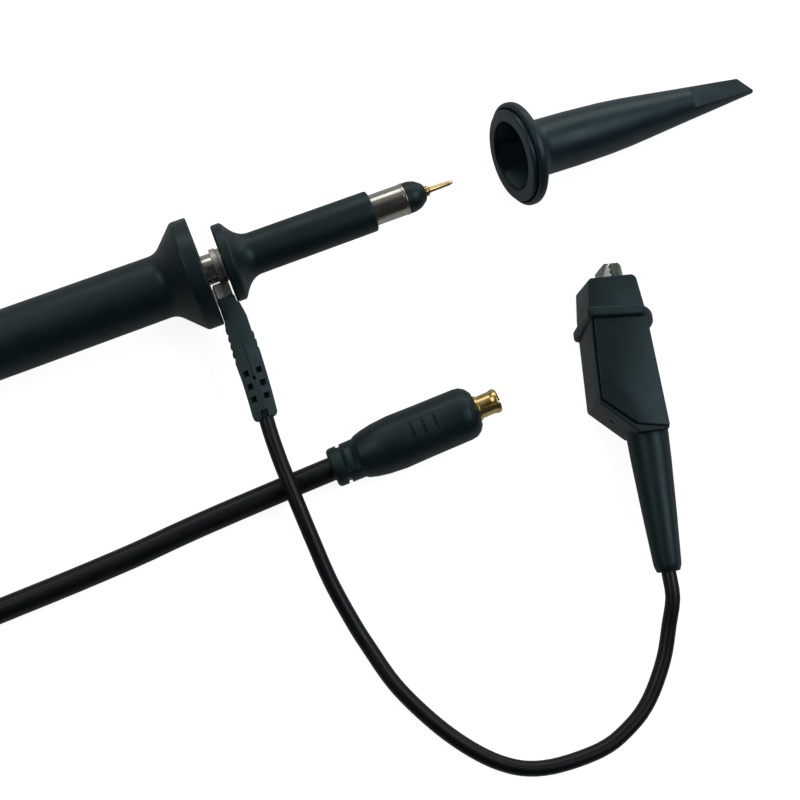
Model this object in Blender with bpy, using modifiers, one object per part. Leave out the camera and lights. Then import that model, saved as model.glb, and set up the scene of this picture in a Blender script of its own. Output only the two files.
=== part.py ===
"""Oscilloscope probe, laid out on a table the way it is unpacked.

The probe is a slim moulded handle with a finger guard. A nickel barrel carries the signal parts and
ends in a bare gold needle. A flanged sleeve covers the barrel, a short ground lead with a small
crocodile clip snaps on the neck, a hooked tip with a sprung sleeve lies beside it, and the coax
ends in a snap-on miniature plug, with its spare length in a tied coil.

Every size below is in millimetres or degrees, and the helpers scale it to metres.
X runs along the probe towards its needle, Z is up, and the table is at Z = 0.
"""

import math

import bmesh
import bpy
from mathutils import Vector

MM = 0.001
WELD = 0.000001
FACETS = 24
FINE_FACETS = 16
GAP = 0.3
SLIDE_FIT = 0.05

# where the assemblies lie, measured from the guard's middle on the table
ORIGIN_SHIFT = (-0.15, 7.18, 0.0)
PROBE_LEAN = 3.0
LEAD_DROOP = 5.0
HOOK_PLACE = (53.55, 1.64)
HOOK_TURN = 0.96
PLUG_PLACE = (9.03, -34.3)
PLUG_TURN = 1.16
CLIP_PLACE = (59.2, -22.5, 6.1)
CLIP_TURN = 76.0
CLIP_LEAN = 2.5

# handle, guard and barrel, along the probe's axis from the guard's middle
GUARD_RADIUS = 8.55
GUARD_FACE = 1.15
GUARD_RIM_REAR = -0.95
HANDLE_NECK_RADIUS = 4.87
HANDLE_RADIUS = 5.0
HANDLE_REAR = -82.0
HANDLE_REAR_RADIUS = 4.3
RELIEF_REAR = -97.0
RELIEF_SOCKET = 10.0
BARREL_RADIUS = 2.5
NECK_RADIUS = 2.3
BARREL_BORE = 1.95
BARREL_REAR = -22.0
BARREL_FRONT = 33.75
DOME_FRONT = 36.95
NEEDLE_TIP = 41.55
NEEDLE_RADIUS = 0.65
SHANK_RADIUS = 0.58
FERRULE_RADIUS = 2.6

# flanged sleeve over the barrel
SLEEVE_REAR = 4.4
SLEEVE_FRONT = 28.3
SLEEVE_RADIUS = 3.28
FLANGE_RADIUS = 6.1
FLARE_REACH = 3.55
FLARE_GAIN = 0.146
FLARE_POWER = 2.34

# ground lead, outwards from the probe's axis
TERMINAL_PLACE = 2.68
BAND_RADIUS = 2.76
BAND_WIDTH = 1.45
BAND_OPENING = 50.0
TAB_THICKNESS = 0.4
BOOT_FRONT = 5.1
BOOT_REAR = 24.3
BOOT_THICKNESS = 3.4
GROUND_WIRE_RADIUS = 1.15

# hooked tip, along its own axis from the rim of its mouth
HOOK_RIM_RADIUS = 8.35
HOOK_LENGTH = 44.2
HOOK_NOSE_RADIUS = 1.45
HOOK_TRAVEL = 5.0
HOOK_COLLAR = (10.3, 19.0)
HOOK_SPRING_SEAT = 29.3
HOOK_WIRE_RADIUS = 0.3

# crocodile clip, along its axis from the front of its insulating boot towards the jaws' tips
CLIP_HALF_THICKNESS = 5.0
CLIP_REAR = -24.3
CLIP_TAIL_END = -45.3
CLIP_TAIL_OFFSET = -2.75
CLIP_PIVOT = (-10.8, 0.2)
CLIP_PIN_RADIUS = 0.55
JAW_TIP = 2.85
JAW_RISE = 0.6
JAW_MEET = -0.87
SHEET = 0.35
JAW_HALF_WIDTH = 2.0
LEVER_HALF_WIDTH = 1.5
TOOTH_PITCH = 0.9
TOOTH_HEIGHT = 0.4

# plug, along its axis from its cable end
PLUG_RADIUS = 4.27
PLUG_FACE = 23.65
PLUG_BELLY = (7.75, 4.06)
PLUG_RELIEF_RADIUS = 3.05
PLUG_RELIEF_REAR = 0.4
CONTACT_RADIUS = 1.75
CONTACT_END = 27.35

# coax and its coil
CABLE_RADIUS = 1.85
BRAID_RADIUS = 1.5
DIELECTRIC_RADIUS = 1.1
CONDUCTOR_RADIUS = 0.25
COIL_TURNS = 7
COIL_POINTS = 24
COIL_PITCH = 4.15
COIL_LAYER_STEP = 4.2
COIL_MIDDLE_RADIUS = 22.2
COIL_LOW = 2.6
COIL_CENTRE_X = -91.0
COIL_TOP_Y = -37.2
TIE_ANGLE = 215.0
TIE_WIDTH = 3.0
TIE_THICKNESS = 0.5


def empty_scene():
    """Clear the scene and open one collection for the parts and one for the cutters."""
    for item in list(bpy.data.objects):
        bpy.data.objects.remove(item)
    parts = bpy.data.collections.new("oscilloscope_probe")
    cutters = bpy.data.collections.new("cutters")
    bpy.context.scene.collection.children.link(parts)
    bpy.context.scene.collection.children.link(cutters)
    return parts, cutters


PARTS, CUTTERS = empty_scene()


def finish(name, colour, roughness, metallic=0.0):
    """One surface finish as a Principled material."""
    material = bpy.data.materials.new(name)
    material.use_nodes = True
    shader = material.node_tree.nodes["Principled BSDF"]
    shader.inputs["Base Color"].default_value = (*colour, 1.0)
    shader.inputs["Roughness"].default_value = roughness
    shader.inputs["Metallic"].default_value = metallic
    return material


def frame(name, parent, place, turn=(0.0, 0.0, 0.0)):
    """An empty that carries one assembly: place in millimetres, turn about X, then Y, then Z."""
    empty = bpy.data.objects.new(name, None)
    PARTS.objects.link(empty)
    empty.parent = parent
    empty.location = Vector(place) * MM
    empty.rotation_euler = [math.radians(angle) for angle in turn]
    return empty


ALONG_X = (0.0, 90.0, 0.0)
ALONG_Z = (0.0, 0.0, 0.0)
ALONG_MINUS_Y = (90.0, 0.0, 0.0)
ACROSS_X = (90.0, 0.0, 90.0)


def place_object(name, data, parent, place, turn, material):
    """Put a mesh or curve in the scene; without a finish it is a cutter."""
    piece = bpy.data.objects.new(name, data)
    piece.parent = parent
    piece.location = Vector(place) * MM
    piece.rotation_euler = [math.radians(angle) for angle in turn]
    if material:
        PARTS.objects.link(piece)
        data.materials.append(material)
    else:
        CUTTERS.objects.link(piece)
        piece.hide_render = True
        piece.display_type = "WIRE"
    return piece


def turned(name, outline, parent, material=None, place=(0, 0, 0), turn=ALONG_X, steps=FACETS):
    """A turned piece from (along, radius) points: down the outer side from front to rear, then back
    up the bore. An outline that starts and ends on the axis is left open, any other is closed."""
    mesh = bpy.data.meshes.new(name)
    points = [(radius * MM, 0.0, along * MM) for along, radius in outline]
    edges = [(i, i + 1) for i in range(len(points) - 1)]
    if outline[0][1] > 0.0:
        edges.append((len(points) - 1, 0))
    mesh.from_pydata(points, edges, [])
    piece = place_object(name, mesh, parent, place, turn, material)
    lathe = piece.modifiers.new("lathe", "SCREW")
    lathe.steps = steps
    lathe.render_steps = steps
    lathe.use_merge_vertices = True
    lathe.merge_threshold = WELD
    lathe.use_smooth_shade = True
    return piece


def arc(centre, radius, start, end, count):
    """Points on an arc of an outline, from the start angle to the end angle in degrees."""
    points = []
    for i in range(count + 1):
        angle = math.radians(start + (end - start) * i / count)
        points.append((centre[0] + radius * math.cos(angle), centre[1] + radius * math.sin(angle)))
    return points


def plate(name, outline, thickness, parent, material=None, place=(0, 0, 0), turn=ALONG_Z, hole=None):
    """A flat outline, with or without a hole, filled, given a thickness and made a welded mesh."""
    curve = bpy.data.curves.new(name, "CURVE")
    curve.dimensions = "2D"
    curve.fill_mode = "BOTH"
    curve.extrude = thickness / 2 * MM
    for loop in [outline, hole] if hole else [outline]:
        spline = curve.splines.new("POLY")
        spline.points.add(len(loop) - 1)
        for point, (x, y) in zip(spline.points, loop):
            point.co = (x * MM, y * MM, 0.0, 1.0)
        spline.use_cyclic_u = True
    guide = bpy.data.objects.new(name, curve)
    CUTTERS.objects.link(guide)
    depsgraph = bpy.context.evaluated_depsgraph_get()
    mesh = bpy.data.meshes.new_from_object(guide.evaluated_get(depsgraph))
    bpy.data.objects.remove(guide)
    bpy.data.curves.remove(curve)
    work = bmesh.new()
    work.from_mesh(mesh)
    bmesh.ops.remove_doubles(work, verts=work.verts, dist=WELD)
    bmesh.ops.recalc_face_normals(work, faces=work.faces)
    work.to_mesh(mesh)
    work.free()
    return place_object(name, mesh, parent, place, turn, material)


def block(name, low, high, parent, pivot=(0, 0, 0), turn=ALONG_Z, material=None):
    """A box between two corners, turned about its pivot."""
    mesh = bpy.data.meshes.new(name)
    work = bmesh.new()
    bmesh.ops.create_cube(work, size=1.0)
    size = [(top - bottom) * MM for bottom, top in zip(low, high)]
    middle = [((top + bottom) / 2 - centre) * MM for bottom, top, centre in zip(low, high, pivot)]
    bmesh.ops.scale(work, vec=size, verts=work.verts)
    bmesh.ops.translate(work, vec=middle, verts=work.verts)
    work.to_mesh(mesh)
    work.free()
    return place_object(name, mesh, parent, pivot, turn, material)


def taper(name, front, rear, parent, sides=FACETS, place=(0, 0, 0), turn=ALONG_X):
    """A straight or tapered round cutter between two (along, radius) ends."""
    mesh = bpy.data.meshes.new(name)
    work = bmesh.new()
    bmesh.ops.create_cone(work, cap_ends=True, segments=sides, radius1=rear[1] * MM,
                          radius2=front[1] * MM, depth=(front[0] - rear[0]) * MM)
    bmesh.ops.translate(work, vec=(0.0, 0.0, (front[0] + rear[0]) / 2 * MM), verts=work.verts)
    work.to_mesh(mesh)
    work.free()
    return place_object(name, mesh, parent, place, turn, None)


def combine(piece, other, operation):
    """Cut another shape out of a piece, or join it on."""
    step = piece.modifiers.new(other.name, "BOOLEAN")
    step.operation = operation
    step.solver = "EXACT"
    step.object = other


def cut(piece, *others):
    for other in others:
        combine(piece, other, "DIFFERENCE")


def join(piece, *others):
    for other in others:
        combine(piece, other, "UNION")


def soften(piece, width, segments=2):
    """Rounded edges on a moulded piece."""
    edges = piece.modifiers.new("edges", "BEVEL")
    edges.width = width * MM
    edges.segments = segments
    edges.limit_method = "ANGLE"
    edges.angle_limit = math.radians(35.0)


def wire(name, points, radius, parent, material=None, resolution=2):
    """A round wire or cable along a list of points, with closed ends."""
    curve = bpy.data.curves.new(name, "CURVE")
    curve.dimensions = "3D"
    curve.bevel_depth = radius * MM
    curve.bevel_resolution = resolution
    curve.use_fill_caps = True
    spline = curve.splines.new("POLY")
    spline.points.add(len(points) - 1)
    for point, place in zip(spline.points, points):
        point.co = (*(Vector(place) * MM), 1.0)
    return place_object(name, curve, parent, (0, 0, 0), ALONG_Z, material)


def smooth_route(points, spacing, floor):
    """Points about one spacing apart on a smooth curve through the given ones, never below floor."""
    knots = [Vector(point) for point in points]
    knots = [2 * knots[0] - knots[1]] + knots + [2 * knots[-1] - knots[-2]]
    route = []
    for before, start, end, after in zip(knots, knots[1:], knots[2:], knots[3:]):
        pieces = max(1, round((end - start).length / spacing))
        for i in range(pieces):
            t = i / pieces
            bend = (2 * before - 5 * start + 4 * end - after) * t ** 2
            sway = (3 * start - before - 3 * end + after) * t ** 3
            route.append(0.5 * (2 * start + (end - before) * t + bend + sway))
    route.append(knots[-2])
    for point in route:
        point.z = max(point.z, floor)
    return route


# ---------------------------------------------------------------- finishes
BLACK_PLASTIC = finish("black_plastic", (0.012, 0.017, 0.020), 0.42)
BLACK_RUBBER = finish("black_rubber", (0.014, 0.019, 0.022), 0.55)
CABLE_JACKET = finish("cable_jacket", (0.010, 0.013, 0.015), 0.45)
NICKEL = finish("nickel", (0.62, 0.59, 0.53), 0.28, 1.0)
GOLD = finish("gold", (0.83, 0.66, 0.30), 0.25, 1.0)
SPRING_STEEL = finish("spring_steel", (0.55, 0.55, 0.55), 0.35, 1.0)
WHITE_INSULATOR = finish("white_insulator", (0.80, 0.79, 0.75), 0.5)
CERAMIC = finish("ceramic", (0.55, 0.42, 0.28), 0.5)


# ---------------------------------------------------------------- frames of the assemblies
LEAN = math.radians(PROBE_LEAN)
PROBE_HEIGHT = GUARD_RADIUS * math.cos(LEAN) - GUARD_RIM_REAR * math.sin(LEAN)
HOOK_LEAN = math.degrees(math.atan2(HOOK_RIM_RADIUS - HOOK_NOSE_RADIUS, HOOK_LENGTH))
HOOK_HEIGHT = HOOK_RIM_RADIUS * math.cos(math.radians(HOOK_LEAN))
TABLE = frame("table_frame", None, ORIGIN_SHIFT)
PROBE = frame("probe_frame", TABLE, (0.0, 0.0, PROBE_HEIGHT), (0.0, -PROBE_LEAN, 0.0))
GROUND = frame("ground_frame", PROBE, (TERMINAL_PLACE, 0.0, 0.0), (LEAD_DROOP, 0.0, 0.0))
HOOK = frame("hook_frame", TABLE, (*HOOK_PLACE, HOOK_HEIGHT), (0.0, HOOK_LEAN, HOOK_TURN))
PLUG_LEAN = math.atan2(PLUG_BELLY[1] - PLUG_RELIEF_RADIUS, PLUG_BELLY[0] - PLUG_RELIEF_REAR)
PLUG_HEIGHT = PLUG_RELIEF_RADIUS * math.cos(PLUG_LEAN) - PLUG_RELIEF_REAR * math.sin(PLUG_LEAN)
PLUG = frame("plug_frame", TABLE, (*PLUG_PLACE, PLUG_HEIGHT), (0.0, -math.degrees(PLUG_LEAN), PLUG_TURN))
CLIP = frame("clip_frame", TABLE, CLIP_PLACE, (0.0, -CLIP_LEAN, CLIP_TURN))
bpy.context.view_layer.update()


def on_table(carrier, point):
    """A point of one assembly's frame, as seen from the table's."""
    across = TABLE.matrix_world.inverted() @ carrier.matrix_world
    return (across @ (Vector(point) * MM)) / MM


# ---------------------------------------------------------------- probe body
def make_handle_shell():
    """Moulded handle: round guard, concave flare, slim grip, and a stepped bore down its middle."""
    edge = 0.65
    shoulder = 0.9
    fillet = 2.5
    slope = 45.0
    rear_edge = 0.8
    relief_bore = 2.95
    cable_bore = CABLE_RADIUS + 0.1
    ferrule_bore = FERRULE_RADIUS + 0.1
    barrel_bore = BARREL_RADIUS + SLIDE_FIT
    flare_top = arc((GUARD_RIM_REAR, GUARD_RADIUS - shoulder), shoulder, 90.0, 180.0 - slope, 2)
    fillet_height = HANDLE_NECK_RADIUS + fillet
    across = fillet * math.sin(math.radians(slope))
    run = flare_top[-1][1] - (fillet_height - across)
    fillet_centre = (flare_top[-1][0] - run - across, fillet_height)
    outline = arc((GUARD_FACE - edge, GUARD_RADIUS - edge), edge, 0.0, 90.0, 3)
    outline += flare_top
    outline += arc(fillet_centre, fillet, -slope, -90.0, 3)
    outline += [(-28.0, HANDLE_RADIUS - 0.03), (-45.0, HANDLE_RADIUS), (-64.0, HANDLE_RADIUS - 0.22)]
    outline += arc((HANDLE_REAR + rear_edge, HANDLE_REAR_RADIUS - rear_edge), rear_edge, 90.0, 180.0, 3)
    socket_end = HANDLE_REAR + RELIEF_SOCKET
    ferrule_rear = BARREL_REAR - 14.0
    ferrule_front = BARREL_REAR - 0.5
    outline += [(HANDLE_REAR, relief_bore), (socket_end, relief_bore), (socket_end, cable_bore)]
    outline += [(ferrule_rear, cable_bore), (ferrule_rear, ferrule_bore)]
    outline += [(ferrule_front, ferrule_bore), (ferrule_front, barrel_bore), (GUARD_FACE, barrel_bore)]
    turned("handle_shell", outline, PROBE, BLACK_PLASTIC)


def make_rear_strain_relief():
    """Soft ribbed sleeve that keeps the coax from kinking where it leaves the handle."""
    front = HANDLE_REAR + RELIEF_SOCKET - GAP
    plug_radius = 2.9
    collar = HANDLE_REAR - GAP
    collar_width = 1.8
    collar_radius = 3.5
    end_radius = 2.7
    rib_count = 5
    rib_depth = 0.4
    bore = CABLE_RADIUS + SLIDE_FIT
    outline = [(front, plug_radius), (collar, plug_radius)]
    outline += [(collar, collar_radius), (collar - collar_width, collar_radius)]
    first = collar - collar_width
    pitch = (first - RELIEF_REAR) / rib_count
    for rib in range(rib_count):
        start = first - rib * pitch
        radius = collar_radius + (end_radius - collar_radius) * (rib + 0.5) / rib_count
        outline += [(start - 0.25 * pitch, radius - rib_depth), (start - 0.6 * pitch, radius)]
        outline += [(start - pitch, radius)]
    outline += [(RELIEF_REAR, bore), (front, bore)]
    turned("rear_strain_relief", outline, PROBE, BLACK_RUBBER)


def make_coax_handle_end():
    """The coax inside the handle, stripped in steps to its braid, its dielectric and its conductor."""
    outline = [(7.8, 0.0), (7.8, CONDUCTOR_RADIUS), (5.5, CONDUCTOR_RADIUS), (5.5, DIELECTRIC_RADIUS)]
    outline += [(BARREL_REAR + 3.0, DIELECTRIC_RADIUS), (BARREL_REAR + 3.0, BRAID_RADIUS)]
    outline += [(BARREL_REAR - 2.0, BRAID_RADIUS), (BARREL_REAR - 2.0, CABLE_RADIUS)]
    outline += [(RELIEF_REAR, CABLE_RADIUS), (RELIEF_REAR, 0.0)]
    turned("coax_handle_end", outline, PROBE, CABLE_JACKET)


def make_coax_ferrule():
    """Crimp ring that holds the coax behind the barrel."""
    front = BARREL_REAR - 1.0
    rear = BARREL_REAR - 11.0
    bore = CABLE_RADIUS + SLIDE_FIT
    outline = [(front, FERRULE_RADIUS), (rear, FERRULE_RADIUS), (rear, bore), (front, bore)]
    turned("coax_ferrule", outline, PROBE, NICKEL)


def make_shield_barrel():
    """Nickel-plated tube: the probe's shield, gripped by the handle and necked for the ground clip."""
    neck_rear = GUARD_FACE - 2.0
    neck_front = SLEEVE_REAR + GAP
    lip = 0.3
    relief = 0.06
    step = 0.15
    outline = [(BARREL_FRONT, BARREL_RADIUS), (BARREL_FRONT - lip, BARREL_RADIUS)]
    outline += [(BARREL_FRONT - lip - 0.1, BARREL_RADIUS - relief), (neck_front, BARREL_RADIUS - relief)]
    outline += [(neck_front - step, NECK_RADIUS), (neck_rear + step, NECK_RADIUS)]
    outline += [(neck_rear, BARREL_RADIUS), (BARREL_REAR, BARREL_RADIUS)]
    outline += [(BARREL_REAR, BARREL_BORE), (BARREL_FRONT, BARREL_BORE)]
    turned("shield_barrel", outline, PROBE, NICKEL)


def make_tip_sleeve():
    """Insulating sleeve over the barrel, flared at its rear into a finger flange."""
    corner = 0.45
    rim_corner = 0.35
    rim_width = 1.6
    front_radius = SLEEVE_RADIUS - 0.07
    bore = BARREL_RADIUS + SLIDE_FIT
    flare_steps = 7
    outline = arc((SLEEVE_FRONT - corner, front_radius - corner), corner, 0.0, 90.0, 3)
    flare_front = SLEEVE_REAR + rim_width + FLARE_REACH
    for i in range(flare_steps + 1):
        depth = FLARE_REACH * i / flare_steps
        outline.append((flare_front - depth, SLEEVE_RADIUS + FLARE_GAIN * depth ** FLARE_POWER))
    outline.append((SLEEVE_REAR + rim_width - rim_corner, FLANGE_RADIUS))
    outline += arc((SLEEVE_REAR + rim_corner, FLANGE_RADIUS - rim_corner), rim_corner, 90.0, 180.0, 2)
    outline += [(SLEEVE_REAR, bore), (SLEEVE_FRONT, bore)]
    turned("tip_sleeve", outline, PROBE, BLACK_PLASTIC)


def make_tip_insulator():
    """Black domed bush that centres the needle in the end of the barrel."""
    head = BARREL_FRONT + 0.08
    spigot_rear = BARREL_FRONT - 2.9
    spigot = BARREL_BORE - SLIDE_FIT
    bore = SHANK_RADIUS + 0.08
    outline = [(DOME_FRONT, 1.15), (DOME_FRONT - 0.15, 1.32), (DOME_FRONT - 0.7, 1.86)]
    outline += [(DOME_FRONT - 1.4, 2.22), (DOME_FRONT - 2.1, 2.40), (head, 2.45)]
    outline += [(head, spigot), (spigot_rear, spigot), (spigot_rear, bore), (DOME_FRONT, bore)]
    turned("tip_insulator", outline, PROBE, BLACK_PLASTIC)


def make_probe_needle():
    """Gold-plated needle with a small collar in front of the dome and a long shank behind it."""
    collar = DOME_FRONT + 0.1
    outline = [(NEEDLE_TIP, 0.0), (NEEDLE_TIP, 0.2), (NEEDLE_TIP - 0.3, 0.36), (NEEDLE_TIP - 1.4, 0.5)]
    outline += [(collar + 1.2, NEEDLE_RADIUS), (collar + 1.0, 0.7), (collar + 0.6, 0.95)]
    outline += [(collar, 1.0), (collar, SHANK_RADIUS), (27.9, SHANK_RADIUS), (27.9, 0.0)]
    turned("probe_needle", outline, PROBE, GOLD)


def make_input_socket():
    """Gold socket inside the barrel that the needle's shank plugs into."""
    front = 30.6
    floor = 27.5
    rear = 26.5
    radius = 1.3
    bore = SHANK_RADIUS + SLIDE_FIT
    outline = [(floor, 0.0), (floor, bore), (front, bore), (front, radius), (rear, radius), (rear, 0.0)]
    turned("input_socket", outline, PROBE, GOLD, steps=FINE_FACETS)


def make_divider():
    """The resistor that divides the signal, the tubular capacitor round it, and their insulating tube."""
    lead = 0.25
    front = 25.0
    rear = 12.0
    cap = 1.2
    outline = [(26.2, 0.0), (26.2, lead), (front, lead), (front, 1.15), (front - cap, 1.15)]
    outline += [(front - cap - 0.2, 1.0), (rear + cap + 0.2, 1.0), (rear + cap, 1.15), (rear, 1.15)]
    outline += [(rear, lead), (8.2, lead), (8.2, 0.0)]
    turned("divider_resistor", outline, PROBE, CERAMIC, steps=FINE_FACETS)
    tube = [(22.5, 1.55), (14.0, 1.55), (14.0, 1.25), (22.5, 1.25)]
    turned("divider_capacitor", tube, PROBE, WHITE_INSULATOR, steps=FINE_FACETS)
    liner = [(30.6, 1.88), (6.0, 1.88), (6.0, 1.62), (30.6, 1.62)]
    turned("core_insulator", liner, PROBE, WHITE_INSULATOR)


# ---------------------------------------------------------------- ground lead
def make_ground_terminal():
    """Stamped spring clip: a C-shaped band snapped on the barrel's neck, and a ribbed tab to the wire."""
    inner = NECK_RADIUS + 0.06
    tab_end = 12.2
    tab_root = 2.5
    tab_half = 1.15
    stem_half = 0.7
    flange = 0.35
    flange_height = 0.5
    crimp_end = 18.0
    start = 315.0 + BAND_OPENING / 2
    end = start + 360.0 - BAND_OPENING
    section = arc((0.0, 0.0), BAND_RADIUS, start, end, 26) + arc((0.0, 0.0), inner, end, start, 26)
    band = plate("ground_terminal", section, BAND_WIDTH, GROUND, NICKEL, (BAND_WIDTH / 2, 0, 0), ACROSS_X)
    edge = BOOT_FRONT - 0.1
    shoulder = 0.15
    outline = [(-tab_half, -tab_root), (-tab_half, shoulder - edge), (-stem_half, -edge)]
    outline += [(-stem_half, -tab_end), (stem_half, -tab_end), (stem_half, -edge)]
    outline += [(tab_half, shoulder - edge), (tab_half, -tab_root)]
    join(band, plate("terminal_tab", outline, TAB_THICKNESS, GROUND))
    for side in (-1, 1):
        inside = tab_half - flange
        low = (min(side * inside, side * tab_half), -edge + 0.2, -TAB_THICKNESS / 2 + 0.02)
        high = (max(side * inside, side * tab_half), -tab_root - 0.5, flange_height)
        join(band, block(f"terminal_rib_{side + 1}", low, high, GROUND))
    crimp = [(crimp_end, 0.98), (tab_end - 0.4, 0.98), (tab_end - 0.4, 0.62), (crimp_end, 0.62)]
    join(band, turned("terminal_crimp", crimp, GROUND, turn=ALONG_MINUS_Y, steps=FINE_FACETS))


def boot_edge(along):
    """Half width of the ground lead's boot at a distance from the probe's axis."""
    shape = [(BOOT_FRONT, 1.38), (8.7, 1.45), (10.2, 1.8), (14.0, 2.1), (18.0, 1.95), (BOOT_REAR, 1.9)]
    for (start, low), (end, high) in zip(shape, shape[1:]):
        if along <= end:
            return low + (high - low) * (along - start) / (end - start)
    return shape[-1][1]


def make_ground_boot():
    """Moulded boot over the crimp: notched edges, three pairs of windows, and the wire's exit."""
    corner = 0.6
    notch = 0.35
    notch_pitch = 1.25
    first_notch = 10.2
    wire_bore = GROUND_WIRE_RADIUS + 0.12
    left = [(-boot_edge(BOOT_FRONT), -BOOT_FRONT), (-boot_edge(8.7), -8.7)]
    for i in range(4):
        start = first_notch + i * notch_pitch
        left += [(-boot_edge(start), -start), (-boot_edge(start) + notch, -start - 0.1)]
    left += [(-boot_edge(first_notch + 4 * notch_pitch), -first_notch - 4 * notch_pitch)]
    left += [(-boot_edge(18.0), -18.0)]
    rear = boot_edge(BOOT_REAR) - corner
    rear_left = arc((-rear, -BOOT_REAR + corner), corner, 180.0, 270.0, 2)
    rear_right = arc((rear, -BOOT_REAR + corner), corner, 270.0, 360.0, 2)
    right = [(boot_edge(18.0), -18.0)]
    for i in range(3):
        start = first_notch + (3 - i) * notch_pitch
        right += [(boot_edge(start), -start), (boot_edge(start) - notch * 0.6, -start + 0.15)]
    right += [(boot_edge(8.7), -8.7), (boot_edge(BOOT_FRONT), -BOOT_FRONT)]
    outline = left + rear_left + rear_right + right
    boot = plate("ground_boot", outline, BOOT_THICKNESS, GROUND, BLACK_RUBBER)
    soften(boot, 0.3, 1)
    cut(boot, taper("boot_wire_bore", (BOOT_REAR + 1.0, wire_bore), (11.6, wire_bore), GROUND,
                    turn=ALONG_MINUS_Y))
    cut(boot, block("boot_tab_slot", (-0.85, -12.0, -0.4), (0.85, -BOOT_FRONT + 1.0, 0.4), GROUND))
    window = 0.9
    window_depth = 0.6
    for row in range(3):
        along = 17.2 + 2.0 * row
        for column in (-1, 1):
            middle = 1.0 * column
            for face in (-1, 1):
                near = face * (BOOT_THICKNESS / 2 - window_depth)
                far = face * BOOT_THICKNESS
                low = (middle - window / 2, -along - window / 2, min(near, far))
                high = (middle + window / 2, -along + window / 2, max(near, far))
                cut(boot, block(f"boot_window_{row}_{column + 1}_{face + 1}", low, high, GROUND))


def make_ground_wire_end():
    """The ground wire's end inside the boot: its strands in the crimp, then its jacket."""
    strands = 0.55
    outline = [(BOOT_REAR, 0.0), (BOOT_REAR, GROUND_WIRE_RADIUS), (18.4, GROUND_WIRE_RADIUS)]
    outline += [(18.4, strands), (12.6, strands), (12.6, 0.0)]
    turned("ground_wire_end", outline, GROUND, CABLE_JACKET, turn=ALONG_MINUS_Y, steps=FINE_FACETS)


def make_ground_cable():
    """The short ground wire, lying in one open loop between its boot and the clip."""
    lying = GROUND_WIRE_RADIUS + 0.03
    route = [on_table(GROUND, (0.0, -BOOT_REAR - GAP, 0.0)), on_table(GROUND, (0.0, -BOOT_REAR - 2.6, 0.0))]
    route += [(2.25, -30.2, 6.02), (2.03, -34.6, 5.72), (2.15, -39.1, 5.15), (2.38, -44.0, 4.2)]
    route += [(2.76, -50.0, 2.95), (3.66, -56.0, 1.8), (4.7, -61.0, 1.25), (6.83, -68.7, lying)]
    route += [(11.37, -77.4, lying), (16.8, -83.8, lying), (22.75, -86.9, lying), (31.4, -87.6, lying)]
    route += [(37.0, -86.1, lying), (41.3, -83.5, 1.25), (45.5, -78.9, 1.85), (48.15, -74.4, 2.8)]
    for behind in (3.9, GAP):
        route.append(on_table(CLIP, (CLIP_TAIL_END - behind, CLIP_TAIL_OFFSET, 0.0)))
    wire("ground_cable", smooth_route(route, 5.0, lying), GROUND_WIRE_RADIUS, TABLE, CABLE_JACKET)


# ---------------------------------------------------------------- crocodile clip
def make_clip_boot():
    """Moulded box round the jaws, with a flange for the fingers, a chamfered corner and a tail."""
    flange_height = 0.78
    outline = [(0.0, -3.6), (0.0, 3.2), (-0.7, 3.95), (-4.0, 4.2), (-18.9, 4.9)]
    outline += [(-23.9, -0.3), (CLIP_REAR, -0.6), (CLIP_REAR, -5.2), (-4.9, -4.2)]
    boot = plate("clip_boot", outline, 2 * CLIP_HALF_THICKNESS, CLIP, BLACK_PLASTIC)
    soften(boot, 0.7)
    half = CLIP_HALF_THICKNESS + flange_height
    ring = block("clip_flange", (-6.8, -5.3, -half), (-4.2, 5.3, half), CLIP)
    soften(ring, 0.5)
    join(boot, ring)
    tail = [(-23.0, 3.25), (-24.0, 3.25), (-28.0, 3.1), (-36.0, 2.65), (-44.3, 2.1), (CLIP_TAIL_END, 1.75)]
    tail = [(-23.0, 0.0)] + tail + [(CLIP_TAIL_END, 0.0)]
    join(boot, turned("clip_tail", tail, CLIP, place=(0, CLIP_TAIL_OFFSET, 0)))
    cavity = [(1.0, -2.8), (1.0, 3.1), (-4.0, 3.35), (-18.5, 4.1), (-23.3, -0.9), (-23.5, -1.0)]
    cavity += [(-23.5, -4.3), (-4.9, -3.4)]
    cut(boot, plate("clip_cavity", cavity, 2 * CLIP_HALF_THICKNESS - 1.6, CLIP))
    chamfer = math.degrees(math.atan2(5.2, 5.0))
    cut(boot, taper("clip_hole", (2.0, 0.5), (-2.0, 0.5), CLIP, 12, (-21.4, 2.3, 0),
                    (0.0, 90.0, chamfer + 90.0)))
    bore = GROUND_WIRE_RADIUS + 0.12
    cut(boot, taper("clip_tail_bore", (-22.0, bore), (CLIP_TAIL_END - 1.0, bore), CLIP,
                    place=(0, CLIP_TAIL_OFFSET, 0)))


def tooth_line(start, end, level):
    """Zigzag between two places along a jaw, on a line that rises towards the tips."""
    count = round(abs(end - start) / TOOTH_PITCH * 2)
    points = []
    for i in range(count + 1):
        side = TOOTH_HEIGHT / 2 if i % 2 else -TOOTH_HEIGHT / 2
        side += JAW_RISE * (1 - i / count)
        points.append((start + (end - start) * i / count, level + side))
    return points


def jaw_pin_hole(name):
    """The pivot pin's hole through both walls of a jaw."""
    reach = JAW_HALF_WIDTH + 1.0
    radius = CLIP_PIN_RADIUS + SLIDE_FIT
    return taper(name, (reach, radius), (-reach, radius), CLIP, 16, (*CLIP_PIVOT, 0), ALONG_Z)


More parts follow.
